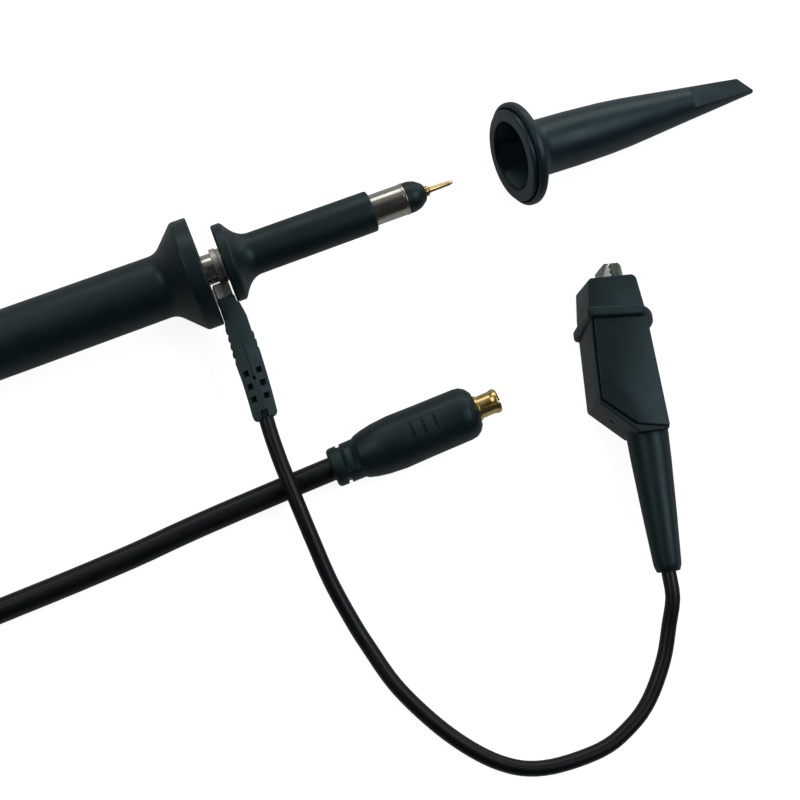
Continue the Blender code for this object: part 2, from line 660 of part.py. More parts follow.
def make_clip_fixed_jaw():
    """Lower jaw: a folded channel with toothed edges, ears for the pin and a crimp for the wire."""
    base = -2.75
    gap = 0.15
    outline = [(-14.0, base), (-5.0, base), (JAW_TIP - 0.5, base + JAW_RISE), (JAW_TIP, base + JAW_RISE + 0.4)]
    outline += tooth_line(JAW_TIP, -3.9, JAW_MEET - gap / 2)
    outline += [(-8.6, JAW_MEET - 0.4), (-9.6, 0.8), (-10.2, 1.3), (-11.4, 1.3), (-12.2, 0.6), (-13.6, -1.6)]
    jaw = plate("clip_fixed_jaw", outline, 2 * JAW_HALF_WIDTH, CLIP, NICKEL)
    inside = JAW_HALF_WIDTH - SHEET
    floor = base + SHEET
    channel = [(-30.0, floor), (-5.0, floor), (JAW_TIP - 0.5, floor + JAW_RISE), (10.0, floor + JAW_RISE)]
    cut(jaw, plate("fixed_jaw_channel", channel + [(10.0, 10.0), (-30.0, 10.0)], 2 * inside, CLIP))
    cut(jaw, jaw_pin_hole("fixed_jaw_hole"))
    strip = block("fixed_jaw_strip", (-15.0, base, -0.9), (-13.5, base + SHEET, 0.9), CLIP)
    join(jaw, strip)
    crimp = [(-14.6, 1.15), (-20.0, 1.15), (-20.0, 0.7), (-14.6, 0.7)]
    place = (0.0, CLIP_TAIL_OFFSET + 1.15, 0.0)
    join(jaw, turned("jaw_crimp", crimp, CLIP, place=place, steps=FINE_FACETS))


def make_clip_moving_jaw():
    """Upper jaw: toothed at the front, nested between the ears, and flaring into the thumb lever."""
    top = 1.1
    back = [(JAW_TIP, JAW_RISE - 0.1), (2.25, top), (0.4, top), (-8.0, 1.4), (-18.3, 3.35)]
    gap = 0.15
    outline = list(reversed(back)) + tooth_line(JAW_TIP, -3.9, JAW_MEET + gap / 2)
    outline += [(-5.3, -0.6), (-9.3, -0.75), (-10.8, -1.0), (-12.0, -0.6), (-13.0, 0.9), (-18.1, 2.6)]
    jaw = plate("clip_moving_jaw", outline, 2 * JAW_HALF_WIDTH, CLIP, NICKEL)
    joggle = -5.1
    wide = JAW_HALF_WIDTH - SHEET
    narrow = LEVER_HALF_WIDTH - SHEET
    for side in (-1, 1):
        low = (-30.0, -5.0, min(side * LEVER_HALF_WIDTH, side * 5.0))
        high = (joggle - 0.2, 8.0, max(side * LEVER_HALF_WIDTH, side * 5.0))
        cut(jaw, block(f"moving_jaw_flank_{side + 1}", low, high, CLIP))
    roof = [(4.0, -5.0), (4.0, 0.2), (2.1, top - SHEET), (0.4, top - SHEET)]
    front = [(joggle + 0.2, -5.0)] + roof + [(joggle + 0.2, 1.29 - SHEET)]
    rear = [(joggle + 0.3, -5.0), (joggle + 0.3, 1.29 - SHEET), (-8.0, 1.4 - SHEET)]
    rear += [(-19.3, 3.54 - SHEET), (-19.3, -5.0)]
    cut(jaw, plate("moving_jaw_channel", front, 2 * wide, CLIP))
    cut(jaw, plate("lever_channel", rear, 2 * narrow, CLIP))
    cut(jaw, jaw_pin_hole("moving_jaw_hole"))


def make_clip_pivot_pin():
    """Pin with a head at each end that the moving jaw turns on."""
    head = 0.85
    inner = JAW_HALF_WIDTH + 0.1
    outer = inner + 0.35
    outline = [(outer, 0.0), (outer, head), (inner, head), (inner, CLIP_PIN_RADIUS)]
    outline += [(-inner, CLIP_PIN_RADIUS), (-inner, head), (-outer, head), (-outer, 0.0)]
    turned("clip_pivot_pin", outline, CLIP, NICKEL, (*CLIP_PIVOT, 0), ALONG_Z, FINE_FACETS)


def make_clip_spring():
    """Torsion spring round the pin, with one leg on the fixed jaw's floor and one under the lever."""
    radius = 0.2
    coil_radius = 0.95
    turns = 3
    per_turn = 10
    pitch = 0.5
    points = [(-14.1, -1.95, -0.75), (-12.8, -1.5, -0.75)]
    for i in range(turns * per_turn + 1):
        angle = math.radians(270.0 + 360.0 * i / per_turn)
        level = -0.75 + pitch * i / per_turn
        across = CLIP_PIVOT[1] + coil_radius * math.sin(angle)
        points.append((CLIP_PIVOT[0] + coil_radius * math.cos(angle), across, level))
    points += [(-12.6, 0.0, 0.75), (-14.5, 1.0, 0.75), (-16.5, 1.9, 0.75)]
    wire("clip_spring", points, radius, CLIP, SPRING_STEEL, 1)


# ---------------------------------------------------------------- hooked tip
def make_hook_sleeve():
    """Long tapered sleeve with a wide rolled mouth, an eight-sided funnel and a slotted nose."""
    funnel = 5.5
    mouth_bore = 3.35
    lip_radius = 2.7
    travel_room = HOOK_COLLAR[1] + HOOK_TRAVEL + 0.5
    slot_floor = 33.3
    nose = HOOK_LENGTH + 0.6
    outline = [(nose, 0.0), (nose, 1.42), (41.7, 1.69), (38.2, 2.06), (33.6, 2.52), (29.1, 2.98)]
    outline += [(24.7, 3.45), (20.2, 3.92), (15.9, 4.23), (9.5, 4.44), (4.2, 4.48), (3.4, 4.6), (2.6, 5.0)]
    outline += [(2.0, 6.0), (1.5, 7.4), (0.9, 8.15), (0.0, HOOK_RIM_RADIUS), (-0.9, 7.8), (-1.3, 6.9)]
    outline += [(-0.9, 6.0), (0.0, 5.8), (0.0, mouth_bore), (9.0, mouth_bore), (9.0, lip_radius)]
    outline += [(10.0, lip_radius), (10.0, 3.0), (travel_room, 3.0), (travel_room, 2.35)]
    outline += [(HOOK_SPRING_SEAT, 2.35), (HOOK_SPRING_SEAT, 1.35), (slot_floor, 1.35), (slot_floor, 0.0)]
    sleeve = turned("hook_sleeve", outline, HOOK, BLACK_PLASTIC)
    cut(sleeve, taper("hook_funnel", (funnel, 3.7), (-0.4, 5.9), HOOK, 8, turn=(0.0, 90.0, 0.0)))
    cut(sleeve, block("hook_slot", (slot_floor - 0.3, -1.15, -0.45), (50.0, 1.15, 0.45), HOOK))
    flat = math.degrees(math.atan(0.105))
    cut(sleeve, block("hook_flat", (31.7, -5.0, 2.12), (50.0, 5.0, 6.0), HOOK, (31.7, 0, 2.12), (0, flat, 0)))
    cut(sleeve, block("hook_end", (43.05, -9.0, -5.0), (56.0, 9.0, 5.0), HOOK, (43.05, 0.05, 0),
                      (0, 0, 38.5)))


def make_hook_core():
    """Insulating core: the collar that grips the barrel, and the rod that carries hook and spring."""
    rear, front = HOOK_COLLAR
    bore = BARREL_RADIUS + 0.06
    contact_bore = 1.15
    outline = [(28.0, 1.2), (24.0, 1.2), (24.0, 1.65), (front, 1.65), (front, 2.95), (rear, 2.95)]
    outline += [(rear, bore), (front - 0.6, bore), (front - 0.6, contact_bore), (23.6, contact_bore)]
    outline += [(23.6, HOOK_WIRE_RADIUS + 0.06), (28.0, HOOK_WIRE_RADIUS + 0.06)]
    turned("hook_core", outline, HOOK, WHITE_INSULATOR)


def make_hook_contact():
    """Gold tube in the core that receives the probe's needle."""
    outline = [(23.4, 1.1), (18.7, 1.1), (18.7, 0.72), (23.4, 0.72)]
    turned("hook_contact", outline, HOOK, GOLD, steps=FINE_FACETS)


def make_hook_wire():
    """Springy wire from the contact to the hook that shows when the sleeve is pulled back."""
    bend = 0.62
    bend_end = 41.7
    points = [(23.9, 0.0, 0.0), (28.6, 0.0, 0.0), (30.6, -bend, 0.0), (bend_end - 3.0, -bend, 0.0)]
    points += [(x, y, 0.0) for x, y in arc((bend_end, 0.0), bend, 270.0, 450.0, 6)]
    points += [(bend_end - 1.2, bend - 0.1, 0.0)]
    wire("hook_wire", points, HOOK_WIRE_RADIUS, HOOK, GOLD)


def make_hook_spring():
    """Compression spring between the core's collar and the sleeve's seat."""
    radius = 0.18
    coil_radius = 2.02
    start = HOOK_COLLAR[1] + radius + 0.06
    end = HOOK_SPRING_SEAT - radius - 0.06
    turns = 8
    per_turn = 8
    points = []
    for i in range(turns * per_turn + 1):
        angle = 2.0 * math.pi * i / per_turn
        along = start + (end - start) * i / (turns * per_turn)
        points.append((along, coil_radius * math.cos(angle), coil_radius * math.sin(angle)))
    wire("hook_spring", points, radius, HOOK, SPRING_STEEL, 1)


# ---------------------------------------------------------------- plug
def make_plug_body():
    """Moulded plug grip: slotted strain relief, swelling body, three grip grooves, coned front."""
    cable_bore = CABLE_RADIUS + 0.1
    chamber = 2.6
    contact_bore = CONTACT_RADIUS + SLIDE_FIT
    outline = [(PLUG_FACE, 2.7), (23.1, 3.4), (22.5, 3.9), (21.7, 4.1), (17.6, 4.15), (15.1, 4.18)]
    outline += [(10.5, PLUG_RADIUS), PLUG_BELLY, (6.0, 3.75), (4.6, 3.35), (4.05, PLUG_RELIEF_RADIUS)]
    outline += [(PLUG_RELIEF_REAR, PLUG_RELIEF_RADIUS), (0.0, 2.67), (0.0, cable_bore), (6.0, cable_bore)]
    outline += [(6.0, chamber), (14.0, chamber), (14.0, contact_bore), (PLUG_FACE, contact_bore)]
    body = turned("plug_body", outline, PLUG, BLACK_PLASTIC)
    grooves = [(2.4, 0.35, 2.5), (3.85, 0.4, 2.5), (13.4, 0.25, 3.98), (15.25, 0.25, 3.98)]
    grooves += [(17.1, 0.25, 3.95)]
    for i, (middle, half, depth) in enumerate(grooves):
        for side in (-1, 1):
            low = (middle - half, -4.0, min(side * depth, side * 6.0))
            high = (middle + half, 4.0, max(side * depth, side * 6.0))
            cut(body, block(f"plug_groove_{i}_{side + 1}", low, high, PLUG))


def make_plug_inside():
    """The crimp ring, the stripped coax, the gold snap tube, its dielectric and the centre pin."""
    ring = [(13.6, 2.5), (6.4, 2.5), (6.4, CABLE_RADIUS + SLIDE_FIT), (13.6, CABLE_RADIUS + SLIDE_FIT)]
    turned("plug_ferrule", ring, PLUG, NICKEL)
    coax = [(12.6, 0.0), (12.6, CONDUCTOR_RADIUS), (12.2, CONDUCTOR_RADIUS), (12.2, DIELECTRIC_RADIUS)]
    coax += [(11.2, DIELECTRIC_RADIUS), (11.2, BRAID_RADIUS), (9.5, BRAID_RADIUS)]
    coax += [(9.5, CABLE_RADIUS), (0.0, CABLE_RADIUS), (0.0, 0.0)]
    turned("coax_plug_end", coax, PLUG, CABLE_JACKET)
    bulge = CONTACT_RADIUS + 0.13
    bore = 1.35
    tube = [(CONTACT_END, CONTACT_RADIUS - 0.1), (CONTACT_END - 0.5, bulge), (CONTACT_END - 0.9, bulge)]
    tube += [(CONTACT_END - 1.4, CONTACT_RADIUS), (14.3, CONTACT_RADIUS), (14.3, bore), (CONTACT_END, bore)]
    contact = turned("plug_outer_contact", tube, PLUG, GOLD)
    for i in range(2):
        slot = block(f"contact_slot_{i}", (PLUG_FACE + 1.1, -3.0, -0.15), (30.0, 3.0, 0.15), PLUG,
                     turn=(45.0 + 90.0 * i, 0.0, 0.0))
        cut(contact, slot)
    filler = [(24.2, 1.3), (14.6, 1.3), (14.6, 0.45), (24.2, 0.45)]
    turned("plug_dielectric", filler, PLUG, WHITE_INSULATOR, steps=FINE_FACETS)
    pin = [(26.7, 0.0), (26.7, 0.12), (26.4, 0.25), (23.6, 0.25), (23.6, 0.4), (13.0, 0.4), (13.0, 0.0)]
    turned("plug_centre_pin", pin, PLUG, GOLD, steps=FINE_FACETS)


# ---------------------------------------------------------------- coax and coil
COIL_INNER_TURNS = (COIL_TURNS - 0.5) / 2
COIL_RADIUS = COIL_MIDDLE_RADIUS + COIL_PITCH * COIL_INNER_TURNS / 2
COIL_CENTRE_Y = COIL_TOP_Y - COIL_RADIUS
COIL_HIGH = COIL_LOW + COIL_LAYER_STEP


def coil_point(turn):
    """The coil's centreline after so many turns: in on the lower layer, up, and out on the upper."""
    radius_in = COIL_RADIUS - COIL_PITCH * COIL_INNER_TURNS
    level = COIL_LOW
    if turn <= COIL_INNER_TURNS:
        radius = COIL_RADIUS - COIL_PITCH * turn
    elif turn < COIL_INNER_TURNS + 0.5:
        climb = math.pi * (turn - COIL_INNER_TURNS) / 0.5
        radius = radius_in - COIL_PITCH / (2 * math.pi) * math.sin(climb)
        level += COIL_LAYER_STEP * (1 - math.cos(climb)) / 2
    else:
        radius = radius_in + COIL_PITCH * (turn - COIL_INNER_TURNS - 0.5)
        level += COIL_LAYER_STEP
    angle = math.radians(90.0 - 360.0 * turn)
    return Vector((COIL_CENTRE_X + radius * math.cos(angle), COIL_CENTRE_Y + radius * math.sin(angle), level))


def own_gap(points, radius):
    """Least clear distance between stretches of a wire that are over three diameters apart on it."""
    apart = 0.0
    lengths = [0.0]
    for start, end in zip(points, points[1:]):
        apart += (end - start).length
        lengths.append(apart)
    least = apart
    for i, point in enumerate(points):
        for other, along in zip(points[i + 1:], lengths[i + 1:]):
            if along - lengths[i] > 6 * radius:
                least = min(least, (other - point).length)
    return least - 2 * radius


def make_coax_coil():
    """The coax's spare length, wound in two layers, with a straight run at each end."""
    straight = Vector((2 * CABLE_RADIUS, 0.0, 0.0))
    count = COIL_TURNS * COIL_POINTS
    turns = [coil_point(COIL_TURNS * i / count) for i in range(count + 1)]
    points = [turns[0] - straight] + turns + [turns[-1] + straight]
    fine = [coil_point(COIL_TURNS * i / (4 * count)) for i in range(4 * count + 1)]
    print(f"coax_coil: least gap to itself {own_gap(fine, CABLE_RADIUS):.2f} mm")
    wire("coax_coil", points, CABLE_RADIUS, TABLE, CABLE_JACKET, 1)
    return points


def make_coax_lead(coil):
    """The coax from the handle's strain relief, in a half circle to the coil's lower layer."""
    lying = CABLE_RADIUS + 0.03
    route = [on_table(PROBE, (RELIEF_REAR - behind, 0.0, 0.0)) for behind in (GAP, 4.1)]
    route += [(-106.5, -0.4, 2.9), (-112.5, -2.2, 2.4)]
    route += [(-118.5, -6.5, 2.0), (-123.2, -12.5, lying), (-125.0, -18.5, lying)]
    route += [(-123.6, -25.0, lying), (-119.0, -31.0, lying), (-112.5, -35.2, 2.0), (-105.5, -36.9, 2.3)]
    end = coil[0] - Vector((GAP, 0.0, 0.0))
    route += [end - Vector((4.0, 0.0, 0.0)), end]
    wire("coax_lead", smooth_route(route, 4.5, lying), CABLE_RADIUS, TABLE, CABLE_JACKET)


def make_coax_tail(coil):
    """The coax from the coil's upper layer down to the table and along it to the plug."""
    lying = CABLE_RADIUS + 0.03
    start = coil[-1] + Vector((GAP, 0.0, 0.0))
    route = [start, start + Vector((4.0, 0.0, -0.05)), (-73.0, -37.2, 5.7), (-66.0, -37.2, 4.1)]
    route += [(-59.0, -37.15, 2.8), (-52.5, -37.05, 2.05), (-46.5, -36.9, lying), (-41.6, -36.75, lying)]
    route += [(-35.2, -36.56, lying), (-28.8, -36.3, lying), (-22.3, -35.95, lying), (-15.7, -35.4, lying)]
    route += [(-9.1, -34.98, 1.9), (-3.2, -34.7, 2.0), (1.3, -34.52, 2.25)]
    route += [on_table(PLUG, (-behind, 0.0, 0.0)) for behind in (4.1, GAP)]
    wire("coax_tail", smooth_route(route, 5.5, lying), CABLE_RADIUS, TABLE, CABLE_JACKET)


def make_cable_tie():
    """Tie round the coil's bundle: a flat band with a lock head on top."""
    radial = []
    for i in range(COIL_TURNS * 4 * COIL_POINTS):
        point = coil_point(i / (4 * COIL_POINTS))
        angle = math.degrees(math.atan2(point.y - COIL_CENTRE_Y, point.x - COIL_CENTRE_X)) % 360.0
        if abs(angle - TIE_ANGLE) < 8.0:
            radial.append(math.hypot(point.x - COIL_CENTRE_X, point.y - COIL_CENTRE_Y))
    reach = CABLE_RADIUS + GAP
    near = min(radial) - reach
    far = max(radial) + reach
    low = COIL_LOW - CABLE_RADIUS - 0.2
    high = COIL_HIGH + reach
    loops = []
    for grow, corner in ((TIE_THICKNESS, 1.9), (0.0, 1.4)):
        corners = ((far, high, 0.0), (near, high, 90.0), (near, low, 180.0), (far, low, 270.0))
        loop = []
        for across, up, start in corners:
            inset = corner - grow
            x = across - inset if start in (0.0, 270.0) else across + inset
            y = up - inset if start in (0.0, 90.0) else up + inset
            loop += arc((x, y), corner, start, start + 90.0, 3)
        loops.append(loop)
    centre = (COIL_CENTRE_X, COIL_CENTRE_Y, 0.0)
    turn = (90.0, 0.0, TIE_ANGLE)
    tie = plate("cable_tie", loops[0], TIE_WIDTH, TABLE, BLACK_PLASTIC, centre, turn, loops[1])
    head_low = (far - 5.5, high + 0.2, -TIE_WIDTH / 2 - 0.7)
    head_high = (far - 1.6, high + TIE_THICKNESS + 1.6, TIE_WIDTH / 2 + 0.7)
    head = block("tie_head", head_low, head_high, TABLE)
    head.location = Vector(centre) * MM
    head.rotation_euler = [math.radians(angle) for angle in turn]
    soften(head, 0.4)
    join(tie, head)


make_handle_shell()
make_rear_strain_relief()
make_coax_handle_end()
make_coax_ferrule()
make_shield_barrel()
make_tip_sleeve()
make_tip_insulator()
make_probe_needle()
make_input_socket()
make_divider()
make_ground_terminal()
make_ground_boot()
make_ground_wire_end()
make_ground_cable()
make_clip_boot()
make_clip_fixed_jaw()
make_clip_moving_jaw()
make_clip_pivot_pin()
make_clip_spring()
make_hook_sleeve()
make_hook_core()
make_hook_contact()
make_hook_wire()
make_hook_spring()
make_plug_body()
make_plug_inside()
COIL = make_coax_coil()
make_coax_lead(COIL)
make_coax_tail(COIL)
make_cable_tie()
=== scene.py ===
"""An oscilloscope probe with its ground lead, hooked tip and coiled coax, as it is laid out on a table.

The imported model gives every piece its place. This script gives each one its surface: the moulded
black shells, the plated metal and the two cords. Sizes are in millimetres, and MM scales them.
"""

import math

import bmesh
import bpy
from mathutils import Matrix, Vector


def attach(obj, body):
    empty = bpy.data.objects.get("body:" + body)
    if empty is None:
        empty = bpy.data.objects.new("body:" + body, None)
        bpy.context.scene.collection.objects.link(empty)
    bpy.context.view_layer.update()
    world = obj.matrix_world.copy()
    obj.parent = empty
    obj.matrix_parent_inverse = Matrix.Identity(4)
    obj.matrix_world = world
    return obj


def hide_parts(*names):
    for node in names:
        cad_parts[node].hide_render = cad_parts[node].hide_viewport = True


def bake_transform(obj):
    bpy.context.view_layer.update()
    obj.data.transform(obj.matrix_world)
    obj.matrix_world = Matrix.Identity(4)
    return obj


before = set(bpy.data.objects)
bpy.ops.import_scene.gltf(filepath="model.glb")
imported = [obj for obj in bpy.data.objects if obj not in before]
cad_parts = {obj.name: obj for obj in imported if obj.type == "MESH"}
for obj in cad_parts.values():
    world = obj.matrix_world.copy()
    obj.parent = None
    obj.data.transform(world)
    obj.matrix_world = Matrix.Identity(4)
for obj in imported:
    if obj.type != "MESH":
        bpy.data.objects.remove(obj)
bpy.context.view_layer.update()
MM = 0.001

# ---------------------------------------------------------------- table, light and camera
# The table is a pale sheet, lit through from below so that it has next to no shadows. A softbox
# hangs on each side of the camera, the right one cooler and stronger, and a long strip light stands
# low at the back. The camera looks down from 200 mm.
TABLE_HALF = 1500.0
TABLE_COLOUR = (0.42, 0.42, 0.42)
TABLE_GLOW = 0.9
TABLE_RETURN = 0.12
PICTURE_UP = (0.363, 0.932, 0.0)
PICTURE_RIGHT = (0.932, -0.363, 0.0)
ROOM_DARK = (0.030, 0.032, 0.032)
ROOM_LIGHT = (0.28, 0.292, 0.278)
BACKDROP = (0.93, 0.93, 0.935)
SOFTBOX_PLACE = (360.0, 30.0, 470.0)
SOFTBOX_SIZE = (300.0, 380.0)
SOFTBOX_POWER = {-1: 0.65, 1: 1.0}
SOFTBOX_TINT = {-1: (1.0, 1.0, 0.94), 1: (0.93, 0.98, 1.08)}
STRIP_PLACE = (60.0, 440.0, 220.0)
STRIP_SIZE = (900.0, 220.0)
STRIP_POWER = 1.1
STRIP_TINT = (1.0, 1.0, 1.0)
CAMERA_PLACE = (-7.62, -57.47, 203.0)
PICTURE_SIDE = 800.0
FOCAL_LENGTH = 60.0
FILM_WIDTH = 36.0
PIXEL_BELOW_CAMERA = (300.0, 700.0)
PROBE_TURN_IN_PICTURE = 21.277


def shader_of(name):
    """A new material, its node tree and its Principled shader."""
    material = bpy.data.materials.new(name)
    material.use_nodes = True
    return material, material.node_tree, material.node_tree.nodes["Principled BSDF"]


def placed(name, data):
    """Put a mesh, curve, lamp or lens into the scene as an object."""
    item = bpy.data.objects.new(name, data)
    bpy.context.scene.collection.objects.link(item)
    return item


def make_table():
    """The sheet on the table, which glows most where the camera itself sees it."""
    work = bmesh.new()
    bmesh.ops.create_grid(work, x_segments=1, y_segments=1, size=TABLE_HALF * MM)
    mesh = bpy.data.meshes.new("table")
    work.to_mesh(mesh)
    work.free()
    material, tree, shader = shader_of("table_sheet")
    shader.inputs["Base Color"].default_value = (*TABLE_COLOUR, 1.0)
    shader.inputs["Roughness"].default_value = 0.8
    shader.inputs["Specular IOR Level"].default_value = 0.1
    shader.inputs["Emission Color"].default_value = (1.0, 1.0, 1.0, 1.0)
    glow = tree.nodes.new("ShaderNodeMath")
    glow.operation = "MULTIPLY_ADD"
    glow.inputs[1].default_value = TABLE_GLOW - TABLE_RETURN
    glow.inputs[2].default_value = TABLE_RETURN
    tree.links.new(tree.nodes.new("ShaderNodeLightPath").outputs["Is Camera Ray"], glow.inputs[0])
    tree.links.new(glow.outputs["Value"], shader.inputs["Emission Strength"])
    mesh.materials.append(material)
    table = placed("table", mesh)


def make_light(name, right, back, height, size, power, tint):
    """An area light, placed as the picture sees it and turned to the middle of the table."""
    light = bpy.data.lights.new(name, "AREA")
    light.shape = "RECTANGLE"
    light.size = size[0] * MM
    light.size_y = size[1] * MM
    light.energy = power
    light.color = tint
    lamp = placed(name, light)
    place = Vector(PICTURE_RIGHT) * right + Vector(PICTURE_UP) * back + Vector((0.0, 0.0, height))
    away = place.normalized()
    up = (Vector(PICTURE_UP) - away * away.dot(Vector(PICTURE_UP))).normalized()
    hung = Matrix((up.cross(away), up, away)).transposed().to_4x4()
    lamp.matrix_world = Matrix.Translation(place * MM) @ hung


def ramp_of(tree, value, low, high, start=0.3, end=0.7):
    """A colour ramp between two colours."""
    ramp = tree.nodes.new("ShaderNodeValToRGB")
    for stop, place, colour in zip(ramp.color_ramp.elements, (start, end), (low, high)):
        stop.position = place
        stop.color = (*colour, 1.0)
    tree.links.new(value, ramp.inputs["Fac"])
    return ramp.outputs["Color"]


def mixed(tree, share, colour, other):
    """A colour mixed with a fixed one, whose share runs from 0 to 1."""
    mix = tree.nodes.new("ShaderNodeMix")
    mix.data_type = "RGBA"
    tree.links.new(share, mix.inputs["Factor"])
    tree.links.new(colour, mix.inputs["A"])
    mix.inputs["B"].default_value = (*other, 1.0)
    return mix.outputs["Result"]


def make_room():
    """The room: dark in front, grey at the back, and a pale backdrop where the camera sees it."""
    room = bpy.data.worlds.new("room")
    room.use_nodes = True
    tree = room.node_tree
    height = tree.nodes.new("ShaderNodeVectorMath")
    height.operation = "DOT_PRODUCT"
    height.inputs[1].default_value = PICTURE_UP
    tree.links.new(tree.nodes.new("ShaderNodeTexCoord").outputs["Generated"], height.inputs[0])
    shade = ramp_of(tree, height.outputs["Value"], ROOM_DARK, ROOM_LIGHT, start=0.0, end=0.5)
    camera_ray = tree.nodes.new("ShaderNodeLightPath").outputs["Is Camera Ray"]
    seen = mixed(tree, camera_ray, shade, BACKDROP)
    tree.links.new(seen, tree.nodes["Background"].inputs["Color"])
    bpy.context.scene.world = room


def make_camera():
    """The camera, turned by where the point straight below it falls in the picture."""
    focal_pixels = FOCAL_LENGTH / FILM_WIDTH * PICTURE_SIDE
    half = PICTURE_SIDE / 2
    across, along = PIXEL_BELOW_CAMERA
    down = Vector(((across - half) / focal_pixels, (half - along) / focal_pixels, -1.0))
    up = -down.normalized()
    right = (Vector((1.0, 0.0, 0.0)) - up * up.x).normalized()
    seen = Matrix((right, up.cross(right), up))
    lens = bpy.data.cameras.new("camera")
    lens.lens = FOCAL_LENGTH
    lens.sensor_width = FILM_WIDTH
    lens.clip_start = 0.005
    camera = placed("camera", lens)
    turn = Matrix.Rotation(-math.radians(PROBE_TURN_IN_PICTURE), 3, "Z") @ seen
    camera.matrix_world = Matrix.Translation(Vector(CAMERA_PLACE) * MM) @ turn.to_4x4()
    bpy.context.scene.camera = camera


make_table()
make_camera()
for side in (-1, 1):
    aside, back, height = SOFTBOX_PLACE
    make_light("softbox", side * aside, back, height, SOFTBOX_SIZE, SOFTBOX_POWER[side],
               SOFTBOX_TINT[side])
make_light("strip_light", *STRIP_PLACE, STRIP_SIZE, STRIP_POWER, STRIP_TINT)
make_room()
bpy.context.scene.view_settings.view_transform = "Standard"

# ---------------------------------------------------------------- handle
# The handle is moulded in a hard black plastic with a faint blue-green cast and a fine eroded grain.
# Its front is a round finger guard that sweeps back in a hollow flare to a slim, plain grip.
PROBE_PLACE = (-0.15, 7.18, 8.588)
PROBE_LEAN = 3.0
GUARD_FACE = 1.15
GUARD_RADIUS = 8.55
NECK_RADIUS = 4.87
HANDLE_REAR = -82.0
RELIEF_BORE = 2.95
COAX_BORE = 1.95
FERRULE_BORE = 2.7
BARREL_BORE = 2.55
PLASTIC_DARK = (0.0025, 0.0070, 0.0095)
PLASTIC_LIGHT = (0.0045, 0.0115, 0.0145)
WORN_EDGE = (0.030, 0.050, 0.055)
SHEEN = 0.42
SHEEN_TINT = (0.70, 0.98, 1.0, 1.0)
MERGE = 0.000001


def turned(angle, axis):
    """A turn about an axis, in degrees."""
    return Matrix.Rotation(math.radians(angle), 4, axis)


def stand(place, lean=0.0, turn=0.0):
    """Where an assembly lies: its place in millimetres, then its lean and its turn in degrees."""
    return Matrix.Translation(Vector(place) * MM) @ (turned(turn, "Z") @ turned(lean, "Y"))


def rounded(corners, closed=True, step=9.0):
    """An outline of (x, y) or (x, y, radius) corners, with an arc where there is a radius."""
    points = []
    last = len(corners) - 1
    for i, corner in enumerate(corners):
        here = Vector(corner[:2])
        radius = corner[2] if len(corner) > 2 else 0.0
        if radius == 0.0 or (not closed and i in (0, last)):
            points.append(tuple(here))
            continue
        before = (Vector(corners[i - 1][:2]) - here).normalized()
        after = (Vector(corners[(i + 1) % len(corners)][:2]) - here).normalized()
        bend = math.pi - before.angle(after)
        centre = here + (before + after).normalized() * radius / math.cos(bend / 2)
        first = here + before * radius * math.tan(bend / 2) - centre
        final = here + after * radius * math.tan(bend / 2) - centre
        side = math.copysign(1.0, first.x * final.y - first.y * final.x)
        count = max(2, math.ceil(math.degrees(bend) / step))
        for k in range(count + 1):
            angle = side * bend * k / count
            points.append((centre.x + first.x * math.cos(angle) - first.y * math.sin(angle),
                           centre.y + first.x * math.sin(angle) + first.y * math.cos(angle)))
    return points


def spun(outline, place, steps=96):
    """A turned shape: an outline of (along, radius) points swept right round the X axis."""
    work = bmesh.new()
    points = [work.verts.new((along * MM, 0.0, radius * MM)) for along, radius in outline]
    edges = [work.edges.new(pair) for pair in zip(points, points[1:])]
    if outline[0][1] > 0.0:
        edges.append(work.edges.new((points[-1], points[0])))
    bmesh.ops.spin(work, geom=points + edges, cent=(0, 0, 0), axis=(1, 0, 0), dvec=(0, 0, 0),
                   angle=math.tau, steps=steps, use_merge=True, use_duplicate=False)
    bmesh.ops.remove_doubles(work, verts=work.verts, dist=MERGE)
    bmesh.ops.recalc_face_normals(work, faces=work.faces)
    work.transform(place)
    return work


def skinned(name, work, material, sharp):
    """A shape as an object of one material, smooth between its sharp edges."""
    mesh = bpy.data.meshes.new(name)
    work.to_mesh(mesh)
    work.free()
    mesh.materials.append(material)
    mesh.shade_smooth()
    mesh.set_sharp_from_angle(angle=math.radians(sharp))
    return placed(name, mesh)


def shown(name, work, material, body, nodes, sharp=32.0):
    """Finish a piece that rides on its body and stands for its nodes."""
    piece = skinned(name, work, material, sharp)
    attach(piece, body)
    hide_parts(*nodes)
    return piece


def noise_of(tree, scale, detail=2.0, stretch=None, turn=(0.0, 0.0, 0.0)):
    """A noise texture on Object coordinates, stretched or turned by a Mapping node if asked."""
    place = tree.nodes.new("ShaderNodeTexCoord").outputs["Object"]
    if stretch:
        mapping = tree.nodes.new("ShaderNodeMapping")
        mapping.inputs["Scale"].default_value = stretch
        mapping.inputs["Rotation"].default_value = turn
        tree.links.new(place, mapping.inputs["Vector"])
        place = mapping.outputs["Vector"]
    noise = tree.nodes.new("ShaderNodeTexNoise")
    noise.inputs["Scale"].default_value = scale
    noise.inputs["Detail"].default_value = detail
    tree.links.new(place, noise.inputs["Vector"])
    return noise.outputs["Fac"]


def range_of(tree, value, low, high, start=0.3, end=0.7):
    """A value mapped to another range."""
    step = tree.nodes.new("ShaderNodeMapRange")
    for name, number in (("From Min", start), ("From Max", end), ("To Min", low), ("To Max", high)):
        step.inputs[name].default_value = number
    tree.links.new(value, step.inputs["Value"])
    return step.outputs["Result"]


def bump_of(tree, height, depth, strength, shader):
    """Relief, with its depth in millimetres."""
    bump = tree.nodes.new("ShaderNodeBump")
    bump.inputs["Strength"].default_value = strength
    bump.inputs["Distance"].default_value = depth * MM
    tree.links.new(height, bump.inputs["Height"])
    tree.links.new(bump.outputs["Normal"], shader.inputs["Normal"])


